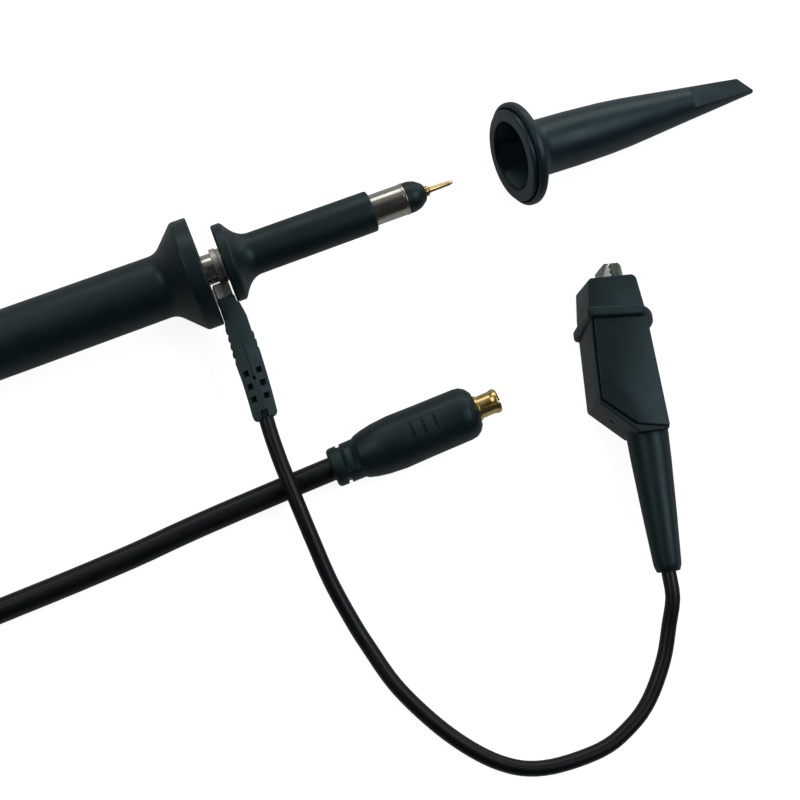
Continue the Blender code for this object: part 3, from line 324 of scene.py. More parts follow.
def moulded(name, dark, light, gloss, grain, depth):
    """A moulded black: clouded colour, uneven gloss, worn lighter edges and an eroded grain."""
    material, tree, shader = shader_of(name)
    tint = ramp_of(tree, noise_of(tree, 90.0, 3.0), dark, light)
    pointed = tree.nodes.new("ShaderNodeNewGeometry").outputs["Pointiness"]
    edge = range_of(tree, pointed, 0.0, 0.55, start=0.53, end=0.62)
    worn = mixed(tree, edge, tint, WORN_EDGE)
    shader.inputs["Specular IOR Level"].default_value = SHEEN
    shader.inputs["Specular Tint"].default_value = SHEEN_TINT
    tree.links.new(worn, shader.inputs["Base Color"])
    smear = noise_of(tree, 260.0, 4.0)
    tree.links.new(range_of(tree, smear, *gloss), shader.inputs["Roughness"])
    bump_of(tree, noise_of(tree, grain, 3.0), depth, 0.35, shader)
    return material


BLACK_PLASTIC = moulded("satin_black_moulding", PLASTIC_DARK, PLASTIC_LIGHT, gloss=(0.40, 0.50),
                        grain=3200.0, depth=0.02)
PROBE = stand(PROBE_PLACE, lean=-PROBE_LEAN)


def make_handle():
    corners = [(GUARD_FACE, GUARD_RADIUS, 0.28), (-1.32, GUARD_RADIUS, 0.75), (-5.0, NECK_RADIUS, 2.6)]
    corners += [(-28.0, 4.97), (-45.0, 5.0), (-64.0, 4.78), (HANDLE_REAR, 4.3, 0.8)]
    corners += [(HANDLE_REAR, RELIEF_BORE), (-72.0, RELIEF_BORE), (-72.0, COAX_BORE), (-36.0, COAX_BORE)]
    corners += [(-36.0, FERRULE_BORE), (-22.5, FERRULE_BORE), (-22.5, BARREL_BORE)]
    corners += [(GUARD_FACE, BARREL_BORE, 0.1)]
    shown("handle_moulding", spun(rounded(corners), PROBE, steps=128), BLACK_PLASTIC, "root",
          ["handle_shell"])


make_handle()

# ---------------------------------------------------------------- strain relief
# A soft black sleeve pressed into the rear of the handle. Its five ribs thin out towards the coax,
# so that the cable bends in a long curve and not at the edge of the shell.
RELIEF_REAR = -97.0
RELIEF_INSIDE = -72.3
RELIEF_RADIUS = 3.5
RELIEF_TAPER = 0.8
RIBS = 5
RIB_HEIGHT = 0.4
SOFT_DARK = (0.013, 0.023, 0.027)
SOFT_LIGHT = (0.019, 0.031, 0.035)
SOFT_BLACK = moulded("soft_black_moulding", SOFT_DARK, SOFT_LIGHT, gloss=(0.46, 0.56), grain=2400.0,
                     depth=0.03)


def make_relief():
    collar = HANDLE_REAR - 0.25
    first = collar - 1.8
    pitch = (first - RELIEF_REAR) / RIBS
    corners = [(RELIEF_INSIDE, 2.9), (collar, 2.9), (collar, RELIEF_RADIUS, 0.25)]
    corners += [(first, RELIEF_RADIUS, 0.2)]
    for rib in range(RIBS):
        start = first - rib * pitch
        radius = RELIEF_RADIUS - RELIEF_TAPER * (rib + 0.5) / RIBS
        foot = radius - RIB_HEIGHT
        corners += [(start - 0.12 * pitch, foot, 0.15), (start - 0.4 * pitch, foot, 0.15)]
        corners += [(start - 0.52 * pitch, radius, 0.2), (start - pitch, radius, 0.25)]
    corners += [(RELIEF_REAR, 1.9), (RELIEF_INSIDE, 1.9)]
    shown("strain_relief", spun(rounded(corners), PROBE), SOFT_BLACK, "root",
          ["rear_strain_relief"])


make_relief()

# ---------------------------------------------------------------- barrel
# A brass tube, turned and plated in satin nickel. The lathe leaves fine rings round it. It has a
# neck for the ground terminal in front of the guard, and a thin polished lip round the dome.
BARREL_RADIUS = 2.5
BARREL_FRONT = 33.75
BARREL_REAR = -22.0
BARREL_INSIDE = 1.95
TERMINAL_NECK = 2.3
SLEEVE_REAR = 4.18
NICKEL_DARK = (0.43, 0.405, 0.36)
NICKEL_LIGHT = (0.53, 0.505, 0.46)
UNTURNED = (0.0, 0.0, 0.0)
PROBE_RINGS = (0.0, math.radians(PROBE_LEAN), 0.0)


def plated(name, dark, light, gloss, rings, turn):
    """Plate on turned metal: fine rings round the X axis, and soft stains in colour and gloss."""
    material, tree, shader = shader_of(name)
    shader.inputs["Metallic"].default_value = 1.0
    stain = noise_of(tree, 420.0, 3.0)
    tree.links.new(ramp_of(tree, stain, dark, light), shader.inputs["Base Color"])
    tree.links.new(range_of(tree, noise_of(tree, 900.0, 4.0), *gloss), shader.inputs["Roughness"])
    lathe = noise_of(tree, 1.0, 2.0, (rings, rings / 25, rings / 25), turn)
    bump_of(tree, lathe, 0.003, 0.2, shader)
    return material


NICKEL = plated("satin_nickel", NICKEL_DARK, NICKEL_LIGHT, gloss=(0.15, 0.22), rings=6000.0,
                turn=PROBE_RINGS)


def make_barrel():
    neck_rear = GUARD_FACE - 2.0
    neck_front = SLEEVE_REAR + 0.3
    corners = [(BARREL_FRONT, BARREL_RADIUS, 0.08), (BARREL_FRONT - 0.32, BARREL_RADIUS, 0.06)]
    corners += [(BARREL_FRONT - 0.42, BARREL_RADIUS - 0.07, 0.04), (neck_front, BARREL_RADIUS - 0.06)]
    corners += [(neck_front - 0.15, TERMINAL_NECK), (neck_rear + 0.15, TERMINAL_NECK)]
    corners += [(neck_rear, BARREL_RADIUS), (BARREL_REAR, BARREL_RADIUS), (BARREL_REAR, BARREL_INSIDE)]
    corners += [(BARREL_FRONT, BARREL_INSIDE)]
    shown("nickel_barrel", spun(rounded(corners), PROBE), NICKEL, "root", ["shield_barrel"])


make_barrel()

# ---------------------------------------------------------------- flanged sleeve
# A black sleeve slides over the barrel. Its rear swells in a deep hollow curve to a finger flange,
# and its front edge is rolled down to the metal.
SLEEVE_FRONT = 28.3
SLEEVE_RADIUS = 3.28
FLANGE_RADIUS = 6.1
FLARE_REACH = 3.55
FLARE_GAIN = 0.146
FLARE_POWER = 2.34
FLARE_STEPS = 22


def make_sleeve():
    flare_front = SLEEVE_REAR + 1.6 + FLARE_REACH
    corners = [(SLEEVE_FRONT, SLEEVE_RADIUS - 0.07, 0.45)]
    for i in range(FLARE_STEPS):
        depth = FLARE_REACH * i / FLARE_STEPS
        corners.append((flare_front - depth, SLEEVE_RADIUS + FLARE_GAIN * depth ** FLARE_POWER))
    corners += [(SLEEVE_REAR + 1.45, FLANGE_RADIUS, 0.3), (SLEEVE_REAR, FLANGE_RADIUS, 0.35)]
    corners += [(SLEEVE_REAR, BARREL_RADIUS + 0.05), (SLEEVE_FRONT, BARREL_RADIUS + 0.05)]
    shown("flanged_sleeve", spun(rounded(corners), PROBE), BLACK_PLASTIC, "root",
          ["tip_sleeve"])


make_sleeve()

# ---------------------------------------------------------------- dome and needle
# A black bush with a domed nose fills the end of the barrel. The gold-plated needle stands out of
# it with a small collar at its foot, runs nearly straight, and ends in a blunt chamfer.
DOME_FRONT = 36.95
DOME_REAR = BARREL_FRONT - 2.9
NEEDLE_TIP = 41.55
NEEDLE_REAR = 27.9
NEEDLE_SHANK = 0.58
NEEDLE_BORE = 0.66
GOLD_DARK = (0.60, 0.42, 0.15)
GOLD_LIGHT = (0.76, 0.58, 0.26)
GOLD = plated("gold_plate", GOLD_DARK, GOLD_LIGHT, gloss=(0.16, 0.28), rings=7000.0, turn=PROBE_RINGS)


def make_tip():
    head = BARREL_FRONT + 0.06
    dome = [(DOME_FRONT, 1.1, 0.15), (DOME_FRONT - 0.25, 1.45, 0.6), (DOME_FRONT - 1.2, 2.15, 1.4)]
    dome += [(DOME_FRONT - 2.2, 2.42, 1.5), (head, 2.44), (head, 1.9), (DOME_REAR, 1.9)]
    dome += [(DOME_REAR, NEEDLE_BORE), (DOME_FRONT, NEEDLE_BORE)]
    shown("dome", spun(rounded(dome), PROBE), BLACK_PLASTIC, "root", ["tip_insulator"])
    foot = DOME_FRONT + 0.05
    needle = [(NEEDLE_TIP, 0.0), (NEEDLE_TIP, 0.2, 0.08), (NEEDLE_TIP - 0.5, 0.37, 0.25)]
    needle += [(foot + 0.9, 0.44), (foot + 0.72, 0.5, 0.1), (foot + 0.5, 0.8, 0.12)]
    needle += [(foot + 0.2, 0.83, 0.08), (foot + 0.15, 0.76), (foot + 0.1, 0.85, 0.04), (foot, 0.85)]
    needle += [(foot, NEEDLE_SHANK), (NEEDLE_REAR, NEEDLE_SHANK), (NEEDLE_REAR, 0.0)]
    shown("gold_needle", spun(rounded(needle, closed=False), PROBE, steps=48), GOLD, "root",
          ["probe_needle"])


make_tip()

# ---------------------------------------------------------------- plug
# The plug's grip is moulded over the coax in one shot: a slotted collar, a swelling body with three
# shallow grip grooves above and below, and a coned front. The gold snap tube stands out of the face.
PLUG = stand((8.88, -27.12, 2.967), lean=-7.824, turn=1.16)
PLUG_FACE = 23.65
PLUG_OUTSIDE = 6.0
CONTACT_RADIUS = 1.75
CONTACT_INSIDE = 1.35
CONTACT_END = 27.35
CONTACT_REAR = 14.3
SNAP_SLOT_HALF = 0.16
SNAP_SLOT_TURNS = (20.0, 110.0)
WHITE_DARK = (0.66, 0.64, 0.58)
WHITE_LIGHT = (0.82, 0.80, 0.75)
# Each groove: its middle along the plug, its half width, its floor from the axis and its half reach.
GRIP_GROOVES = ((13.4, 0.22, 3.9, 2.3), (15.25, 0.22, 3.88, 2.3), (17.1, 0.22, 3.86, 2.3))
COLLAR_GROOVES = ((2.4, 0.3, 2.45, 2.2), (3.95, 0.35, 2.45, 2.2))
SIDE_GROOVE = (1.6, 2.2, 2.45, 2.2)


def brick(low, high, place):
    """A box between two corners."""
    work = bmesh.new()
    bmesh.ops.create_cube(work, size=MM)
    bmesh.ops.scale(work, vec=[top - bottom for bottom, top in zip(low, high)], verts=work.verts)
    middle = [(top + bottom) / 2 * MM for bottom, top in zip(low, high)]
    bmesh.ops.translate(work, vec=middle, verts=work.verts)
    work.transform(place)
    return work


def read_back(item):
    """An object's shape with its modifiers or its bevel carried out, and its doubles merged."""
    depsgraph = bpy.context.evaluated_depsgraph_get()
    mesh = bpy.data.meshes.new_from_object(item.evaluated_get(depsgraph))
    work = bmesh.new()
    work.from_mesh(mesh)
    bpy.data.meshes.remove(mesh)
    bmesh.ops.remove_doubles(work, verts=work.verts, dist=MERGE)
    return work


def carved(base, tools, operation="DIFFERENCE"):
    """A shape with others cut out of it, or joined on to it."""
    items = []
    for work in (base, *tools):
        mesh = bpy.data.meshes.new("blank")
        work.to_mesh(mesh)
        work.free()
        items.append(placed("blank", mesh))
    for tool in items[1:]:
        step = items[0].modifiers.new("cut", "BOOLEAN")
        step.operation = operation
        step.object = tool
    work = read_back(items[0])
    for item in items:
        bpy.data.objects.remove(item)
    return work


def insulator(name, dark, light):
    """A milky moulded insulator with a faint mottle."""
    material, tree, shader = shader_of(name)
    tree.links.new(ramp_of(tree, noise_of(tree, 700.0, 3.0), dark, light), shader.inputs["Base Color"])
    tree.links.new(range_of(tree, noise_of(tree, 900.0, 2.0), 0.4, 0.55), shader.inputs["Roughness"])
    bump_of(tree, noise_of(tree, 2600.0), 0.01, 0.3, shader)
    return material


WHITE_INSULATOR = insulator("white_insulator_finish", WHITE_DARK, WHITE_LIGHT)


def make_plug():
    corners = [(PLUG_FACE, 2.65, 0.2), (23.1, 3.45, 0.6), (22.3, 3.98, 0.9), (21.4, 4.13, 1.5)]
    corners += [(15.1, 4.18), (10.5, 4.27), (7.75, 4.06, 6.0), (6.0, 3.75, 4.0), (4.75, 3.4, 0.5)]
    corners += [(4.3, 3.1, 0.15), (0.4, 3.05, 0.3), (0.0, 2.75, 0.3), (0.0, 2.2, 0.15)]
    corners += [(0.7, COAX_BORE), (6.0, COAX_BORE), (6.0, 2.6), (14.0, 2.6), (14.0, 1.8)]
    corners += [(PLUG_FACE, 1.8, 0.1)]
    tools = []
    for middle, half, depth, reach in GRIP_GROOVES + COLLAR_GROOVES:
        for side in (-1, 1):
            floor, top = sorted((side * depth, side * PLUG_OUTSIDE))
            tools.append(brick((middle - half, -reach, floor), (middle + half, reach, top), PLUG))
    start, end, depth, reach = SIDE_GROOVE
    for side in (-1, 1):
        near, far = sorted((side * depth, side * PLUG_OUTSIDE))
        tools.append(brick((start, near, -reach), (end, far, reach), PLUG))
    body = carved(spun(rounded(corners), PLUG), tools)
    shown("plug_grip", body, BLACK_PLASTIC, "root", ["plug_body"], sharp=28.0)
    bulge = CONTACT_RADIUS + 0.16
    tube = [(CONTACT_END, CONTACT_RADIUS - 0.2, 0.15), (CONTACT_END - 0.3, bulge - 0.04, 0.25)]
    tube += [(CONTACT_END - 0.75, bulge, 0.4), (CONTACT_END - 1.25, CONTACT_RADIUS, 0.5)]
    tube += [(PLUG_FACE + 0.45, CONTACT_RADIUS), (PLUG_FACE + 0.4, CONTACT_RADIUS + 0.22, 0.08)]
    tube += [(PLUG_FACE + 0.05, CONTACT_RADIUS + 0.22, 0.08), (PLUG_FACE, CONTACT_RADIUS)]
    tube += [(CONTACT_REAR, CONTACT_RADIUS), (CONTACT_REAR, CONTACT_INSIDE)]
    tube += [(CONTACT_END, CONTACT_INSIDE, 0.1)]
    slots = []
    for angle in SNAP_SLOT_TURNS:
        across = PLUG @ turned(angle, "X")
        slots.append(brick((PLUG_FACE + 0.9, -3.0, -SNAP_SLOT_HALF), (30.0, 3.0, SNAP_SLOT_HALF), across))
    snap = carved(spun(rounded(tube), PLUG, steps=64), slots)
    shown("gold_snap_tube", snap, GOLD, "root", ["plug_outer_contact"])
    filler = rounded([(24.2, 1.3, 0.1), (14.6, 1.3), (14.6, 0.45), (24.2, 0.45, 0.08)])
    shown("white_filler", spun(filler, PLUG, steps=48), WHITE_INSULATOR, "root",
          ["plug_dielectric"])
    pin = [(26.7, 0.0), (26.7, 0.12, 0.05), (26.35, 0.25, 0.2), (23.6, 0.25), (23.6, 0.4), (13.0, 0.4)]
    pin += [(13.0, 0.0)]
    shown("centre_pin", spun(rounded(pin, closed=False), PLUG, steps=32), GOLD, "root",
          ["plug_centre_pin"])


make_plug()

# ---------------------------------------------------------------- cable tie
# A nylon tie holds the coil's turns together. The band goes once round the bundle, and its end
# comes out of a square lock head on top.
TABLE_SHIFT = (-0.15, 7.18, 0.0)
CABLE_RADIUS = 1.85
COIL_TURNS = 7
COIL_PITCH = 4.15
COIL_LAYER_STEP = 4.2
COIL_INNER_TURNS = (COIL_TURNS - 0.5) / 2
COIL_RADIUS = 22.2 + COIL_PITCH * COIL_INNER_TURNS / 2
COIL_CENTRE = (-91.0, -37.2 - COIL_RADIUS)
COIL_LOW = 2.6
COIL_HIGH = COIL_LOW + COIL_LAYER_STEP
TIE_ANGLE = 215.0
TIE_WIDTH = 3.0
TIE_THICKNESS = 0.5
TIE_HEAD_HALF = TIE_WIDTH / 2 + 0.7
TIE_TAIL_HALF = 1.2
TIE_SEARCH = 8.0
COIL_STEPS = 96


def coil_point(turn):
    """The coil's centreline after so many turns: in on the lower layer, up, and out on the upper."""
    radius_in = COIL_RADIUS - COIL_PITCH * COIL_INNER_TURNS
    level = COIL_LOW
    if turn <= COIL_INNER_TURNS:
        radius = COIL_RADIUS - COIL_PITCH * turn
    elif turn < COIL_INNER_TURNS + 0.5:
        climb = math.pi * (turn - COIL_INNER_TURNS) / 0.5
        radius = radius_in - COIL_PITCH / (2 * math.pi) * math.sin(climb)
        level += COIL_LAYER_STEP * (1 - math.cos(climb)) / 2
    else:
        radius = radius_in + COIL_PITCH * (turn - COIL_INNER_TURNS - 0.5)
        level += COIL_LAYER_STEP
    angle = math.radians(90.0 - 360.0 * turn)
    centre = Vector((*COIL_CENTRE, level))
    return centre + Vector((radius * math.cos(angle), radius * math.sin(angle), 0.0))


def slab(outline, thickness, place):
    """A flat outline with a thickness, half of it on each side of its plane."""
    work = bmesh.new()
    face = work.faces.new([work.verts.new((x * MM, y * MM, -thickness / 2 * MM)) for x, y in outline])
    grown = bmesh.ops.extrude_face_region(work, geom=[face])["geom"]
    lifted = [item for item in grown if isinstance(item, bmesh.types.BMVert)]
    bmesh.ops.translate(work, vec=(0.0, 0.0, thickness * MM), verts=lifted)
    bmesh.ops.recalc_face_normals(work, faces=work.faces)
    work.transform(place)
    return work


def eased(work, width, segments=3, above=30.0):
    """Round off the edges that are sharper than an angle."""
    edges = [edge for edge in work.edges
             if edge.is_manifold and math.degrees(edge.calc_face_angle()) > above]
    bmesh.ops.bevel(work, geom=edges, offset=width * MM, offset_type="OFFSET", segments=segments,
                    profile=0.5, affect="EDGES", clamp_overlap=True, material=-1)
    return work


def make_tie():
    radial = []
    for i in range(COIL_TURNS * COIL_STEPS):
        point = coil_point(i / COIL_STEPS)
        angle = math.degrees(math.atan2(point.y - COIL_CENTRE[1], point.x - COIL_CENTRE[0])) % 360.0
        if abs(angle - TIE_ANGLE) < TIE_SEARCH:
            radial.append(math.hypot(point.x - COIL_CENTRE[0], point.y - COIL_CENTRE[1]))
    near = min(radial) - CABLE_RADIUS - 0.3
    far = max(radial) + CABLE_RADIUS + 0.3
    low = COIL_LOW - CABLE_RADIUS - 0.2
    high = COIL_HIGH + CABLE_RADIUS + 0.3
    middle = Matrix.Translation(Vector((*COIL_CENTRE, 0.0)) * MM + Vector(TABLE_SHIFT) * MM)
    place = middle @ turned(TIE_ANGLE, "Z") @ turned(90.0, "X")
    loops = []
    for wall, corner in ((TIE_THICKNESS, 1.9), (0.0, 1.4)):
        loop = [(near - wall, low - wall, corner), (far + wall, low - wall, corner)]
        loop += [(far + wall, high + wall, corner), (near - wall, high + wall, corner)]
        loops.append(rounded(loop))
    band = carved(slab(loops[0], TIE_WIDTH, place), [slab(loops[1], TIE_WIDTH + 2.0, place)])
    head = brick((far - 5.5, high + 0.15, -TIE_HEAD_HALF), (far - 1.6, high + 2.1, TIE_HEAD_HALF), place)
    end = brick((far - 4.4, high + 1.0, -TIE_TAIL_HALF), (far - 3.9, high + 3.4, TIE_TAIL_HALF), place)
    tie = carved(eased(band, 0.15, segments=2), [eased(head, 0.4), end], "UNION")
    shown("nylon_tie", tie, BLACK_PLASTIC, "root", ["cable_tie"])


make_tie()

# ---------------------------------------------------------------- coax
# The coax is one cable of 3.7 mm in a smooth extruded jacket. It leaves the handle, turns back into
# a coil of seven turns in two layers, and comes out on top to run along the table to the plug.
JACKET_DARK = (0.0015, 0.0030, 0.0040)
JACKET_LIGHT = (0.0030, 0.0055, 0.0065)
FLOOR_GAP = 0.03
COAX_STEPS = 72
COAX_SPACING = 1.6
CABLE_FACETS = 5


def smooth_route(points, spacing, floor):
    """Points on a smooth curve through the given ones, about one spacing apart, never below floor."""
    knots = [Vector(point) for point in points]
    knots = [2 * knots[0] - knots[1]] + knots + [2 * knots[-1] - knots[-2]]
    route = []
    for before, start, end, after in zip(knots, knots[1:], knots[2:], knots[3:]):
        pieces = max(1, round((end - start).length / spacing))
        for i in range(pieces):
            t = i / pieces
            bend = (2 * before - 5 * start + 4 * end - after) * t ** 2
            sway = (3 * start - before - 3 * end + after) * t ** 3
            route.append(0.5 * (2 * start + (end - before) * t + bend + sway))
    route.append(knots[-2])
    for point in route:
        point.z = max(point.z, floor)
    return route


def jacket(name, dark, light):
    """Extruded jacket: long faint flow marks, an even satin and a very fine skin."""
    material, tree, shader = shader_of(name)
    tree.links.new(ramp_of(tree, noise_of(tree, 150.0, 3.0), dark, light), shader.inputs["Base Color"])
    tree.links.new(range_of(tree, noise_of(tree, 500.0, 4.0), 0.33, 0.43), shader.inputs["Roughness"])
    shader.inputs["Specular IOR Level"].default_value = 0.3
    bump_of(tree, noise_of(tree, 1800.0, 3.0), 0.012, 0.3, shader)
    return material


CABLE_JACKET = jacket("extruded_jacket", JACKET_DARK, JACKET_LIGHT)


def on_table(carrier, point):
    """A point of an assembly's stand, in millimetres from the guard's middle on the table."""
    return carrier @ (Vector(point) * MM) / MM - Vector(TABLE_SHIFT)


def cable_curve(name, points, radius, resolution):
    """A round cable along its centreline, as a curve of one open spline in metres."""
    curve = bpy.data.curves.new(name, "CURVE")
    curve.dimensions = "3D"
    curve.bevel_depth = radius * MM
    curve.bevel_resolution = resolution
    curve.use_fill_caps = True
    spline = curve.splines.new("POLY")
    spline.points.add(len(points) - 1)
    for knot, point in zip(spline.points, points):
        knot.co = (*((point + Vector(TABLE_SHIFT)) * MM), 1.0)
    spline.use_smooth = True
    curve.materials.append(CABLE_JACKET)
    return placed(name, curve)


def make_coax():
    lying = CABLE_RADIUS + FLOOR_GAP
    count = COIL_TURNS * COAX_STEPS
    turns = [coil_point(COIL_TURNS * i / count) for i in range(count + 1)]
    lead = [on_table(PROBE, (RELIEF_REAR + ahead, 0.0, 0.0)) for ahead in (2.5, -0.3, -4.1)]
    lead += [(-106.5, -0.4, 2.9), (-112.5, -2.2, 2.4), (-118.5, -6.5, 2.0), (-123.2, -12.5, lying)]
    lead += [(-125.0, -18.5, lying), (-123.6, -25.0, lying), (-119.0, -31.0, lying), (-112.5, -35.2, 2.0)]
    lead += [(-105.5, -36.9, 2.3), turns[0] - Vector((8.0, 0.0, 0.0)), turns[0] - Vector((3.7, 0.0, 0.0))]
    tail = [turns[-1] + Vector((3.7, 0.0, 0.0)), turns[-1] + Vector((8.0, 0.0, -0.05))]
    tail += [(-73.0, -37.2, 5.7), (-66.0, -37.2, 4.1), (-59.0, -37.15, 2.8), (-52.5, -37.05, 2.05)]
    tail += [(-46.5, -36.9, lying), (-41.6, -36.75, lying), (-35.2, -36.56, lying), (-28.8, -36.3, lying)]
    tail += [(-22.3, -35.95, lying), (-15.7, -35.4, lying), (-9.1, -34.98, 1.9), (-3.2, -34.7, 2.0)]
    tail += [(1.3, -34.52, 2.25)]
    tail += [on_table(PLUG, (ahead, 0.0, 0.0)) for ahead in (-4.1, -0.3, 2.5)]
    route = smooth_route(lead, COAX_SPACING, lying) + turns + smooth_route(tail, COAX_SPACING, lying)
    coax = cable_curve("coax", route, CABLE_RADIUS, CABLE_FACETS)
    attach(coax, "root")
    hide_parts("coax_lead", "coax_coil", "coax_tail")


make_coax()

# ---------------------------------------------------------------- ground terminal
# A spring clip stamped from nickel-plated sheet. Its open band snaps on the barrel's neck, and a
# ribbed tab runs from it into the boot, where it is crimped on the wire.
GROUND = PROBE @ Matrix.Translation((2.68 * MM, 0.0, 0.0)) @ turned(5.0, "X")
ALONG_LEAD = turned(-90.0, "Z")
TIN_DARK = (0.62, 0.60, 0.55)
TIN_LIGHT = (0.76, 0.74, 0.68)
BAND_START = 340.0
BAND_SWEEP = 310.0
TAB_THICKNESS = 0.4
TAB_RIBS = ((-1.15, -0.8, 0.5), (0.8, 1.2, 0.62), (0.1, 0.4, 0.34))
CRIMP_FRONT = 11.8
CRIMP_REAR = 16.4
BOOT_FRONT = 5.1
BOOT_REAR = 24.3


def make_terminal():
    corners = [(0.0, 2.36), (0.0, 2.8, 0.06), (0.92, 2.8, 0.06), (0.98, 2.58, 0.03), (1.45, 2.58, 0.05)]
    corners += [(1.45, 2.36)]
    section = rounded(corners)
    work = bmesh.new()
    start = turned(BAND_START, "X")
    ring = [work.verts.new(start @ Vector((along * MM, radius * MM, 0.0))) for along, radius in section]
    edges = [work.edges.new(pair) for pair in zip(ring, ring[1:] + ring[:1])]
    bmesh.ops.spin(work, geom=ring + edges, cent=(0, 0, 0), axis=(1, 0, 0), dvec=(0, 0, 0),
                   angle=math.radians(BAND_SWEEP), steps=72, use_merge=False, use_duplicate=False)
    bmesh.ops.holes_fill(work, edges=[edge for edge in work.edges if edge.is_boundary], sides=0)
    bmesh.ops.recalc_face_normals(work, faces=work.faces)
    work.transform(GROUND)
    tab = [(-1.2, -2.5, 0.1), (-1.45, -3.2, 0.2), (-1.45, -BOOT_FRONT - 0.9, 0.2)]
    tab += [(-0.95, -BOOT_FRONT - 1.0, 0.1), (-0.7, -BOOT_FRONT), (-0.7, -12.2), (0.7, -12.2)]
    tab += [(0.7, -BOOT_FRONT), (1.25, -BOOT_FRONT + 0.15), (1.25, -2.5, 0.1)]
    parts = [eased(slab(rounded(tab), TAB_THICKNESS, GROUND), 0.08, segments=2)]
    for inner, outer, height in TAB_RIBS:
        rib = brick((inner, -BOOT_FRONT + 0.12, -0.15), (outer, -2.7, height), GROUND)
        parts.append(eased(rib, 0.1, segments=2))
    crimp = [(CRIMP_REAR, 0.98, 0.1), (CRIMP_FRONT, 0.98, 0.1), (CRIMP_FRONT, 0.62), (CRIMP_REAR, 0.62)]
    parts.append(spun(rounded(crimp), GROUND @ ALONG_LEAD, steps=40))
    tin = plated("tinned_sheet", TIN_DARK, TIN_LIGHT, gloss=(0.52, 0.62), rings=2500.0, turn=UNTURNED)
    shown("terminal", carved(work, parts, "UNION"), tin, "ground_clip", ["ground_terminal"])


make_terminal()

# ---------------------------------------------------------------- ground lead's boot
# A soft boot moulded over the crimp. Its faces meet in a low ridge, its edges are notched for grip,
# and three pairs of windows let it bend. The wire pulls its rear a little aside.
BOOT_HALF_THICKNESS = 1.7
BOOT_EDGE = ((BOOT_FRONT, 1.38), (8.7, 1.45), (10.2, 1.8), (14.0, 2.1), (18.0, 1.95), (BOOT_REAR, 1.9))
BOOT_RIGHT_EDGE = ((BOOT_FRONT, 1.38), (6.2, 1.42), (6.6, 1.75), (8.7, 2.05), (12.0, 2.15), (18.0, 2.0),
                   (BOOT_REAR, 1.9))
RIDGE_SLOPE = 0.2
NOTCH_START = 10.2
NOTCH_PITCH = 1.25
WINDOW_START = 17.2
WINDOW_PITCH = 2.0
WINDOW_HALF = 0.45
WINDOW_FLOOR = 0.7
BOOT_OUTSIDE = 3.0
WIRE_RADIUS = 1.15
WIRE_BORE = WIRE_RADIUS + 0.1
BEND_START = 12.0
BEND_ASIDE = 0.65


def boot_edge(along, shape=BOOT_EDGE):
    """How far the boot's edge is from its ridge at a distance from the probe's axis."""
    for (start, low), (end, high) in zip(shape, shape[1:]):
        if along <= end:
            return low + (high - low) * (along - start) / (end - start)
    return shape[-1][1]


def lead_bend(along):
    """How far the wire has pulled the lead aside at a distance from the probe's axis."""
    return -BEND_ASIDE * (max(0.0, along - BEND_START) / (BOOT_REAR - BEND_START)) ** 2


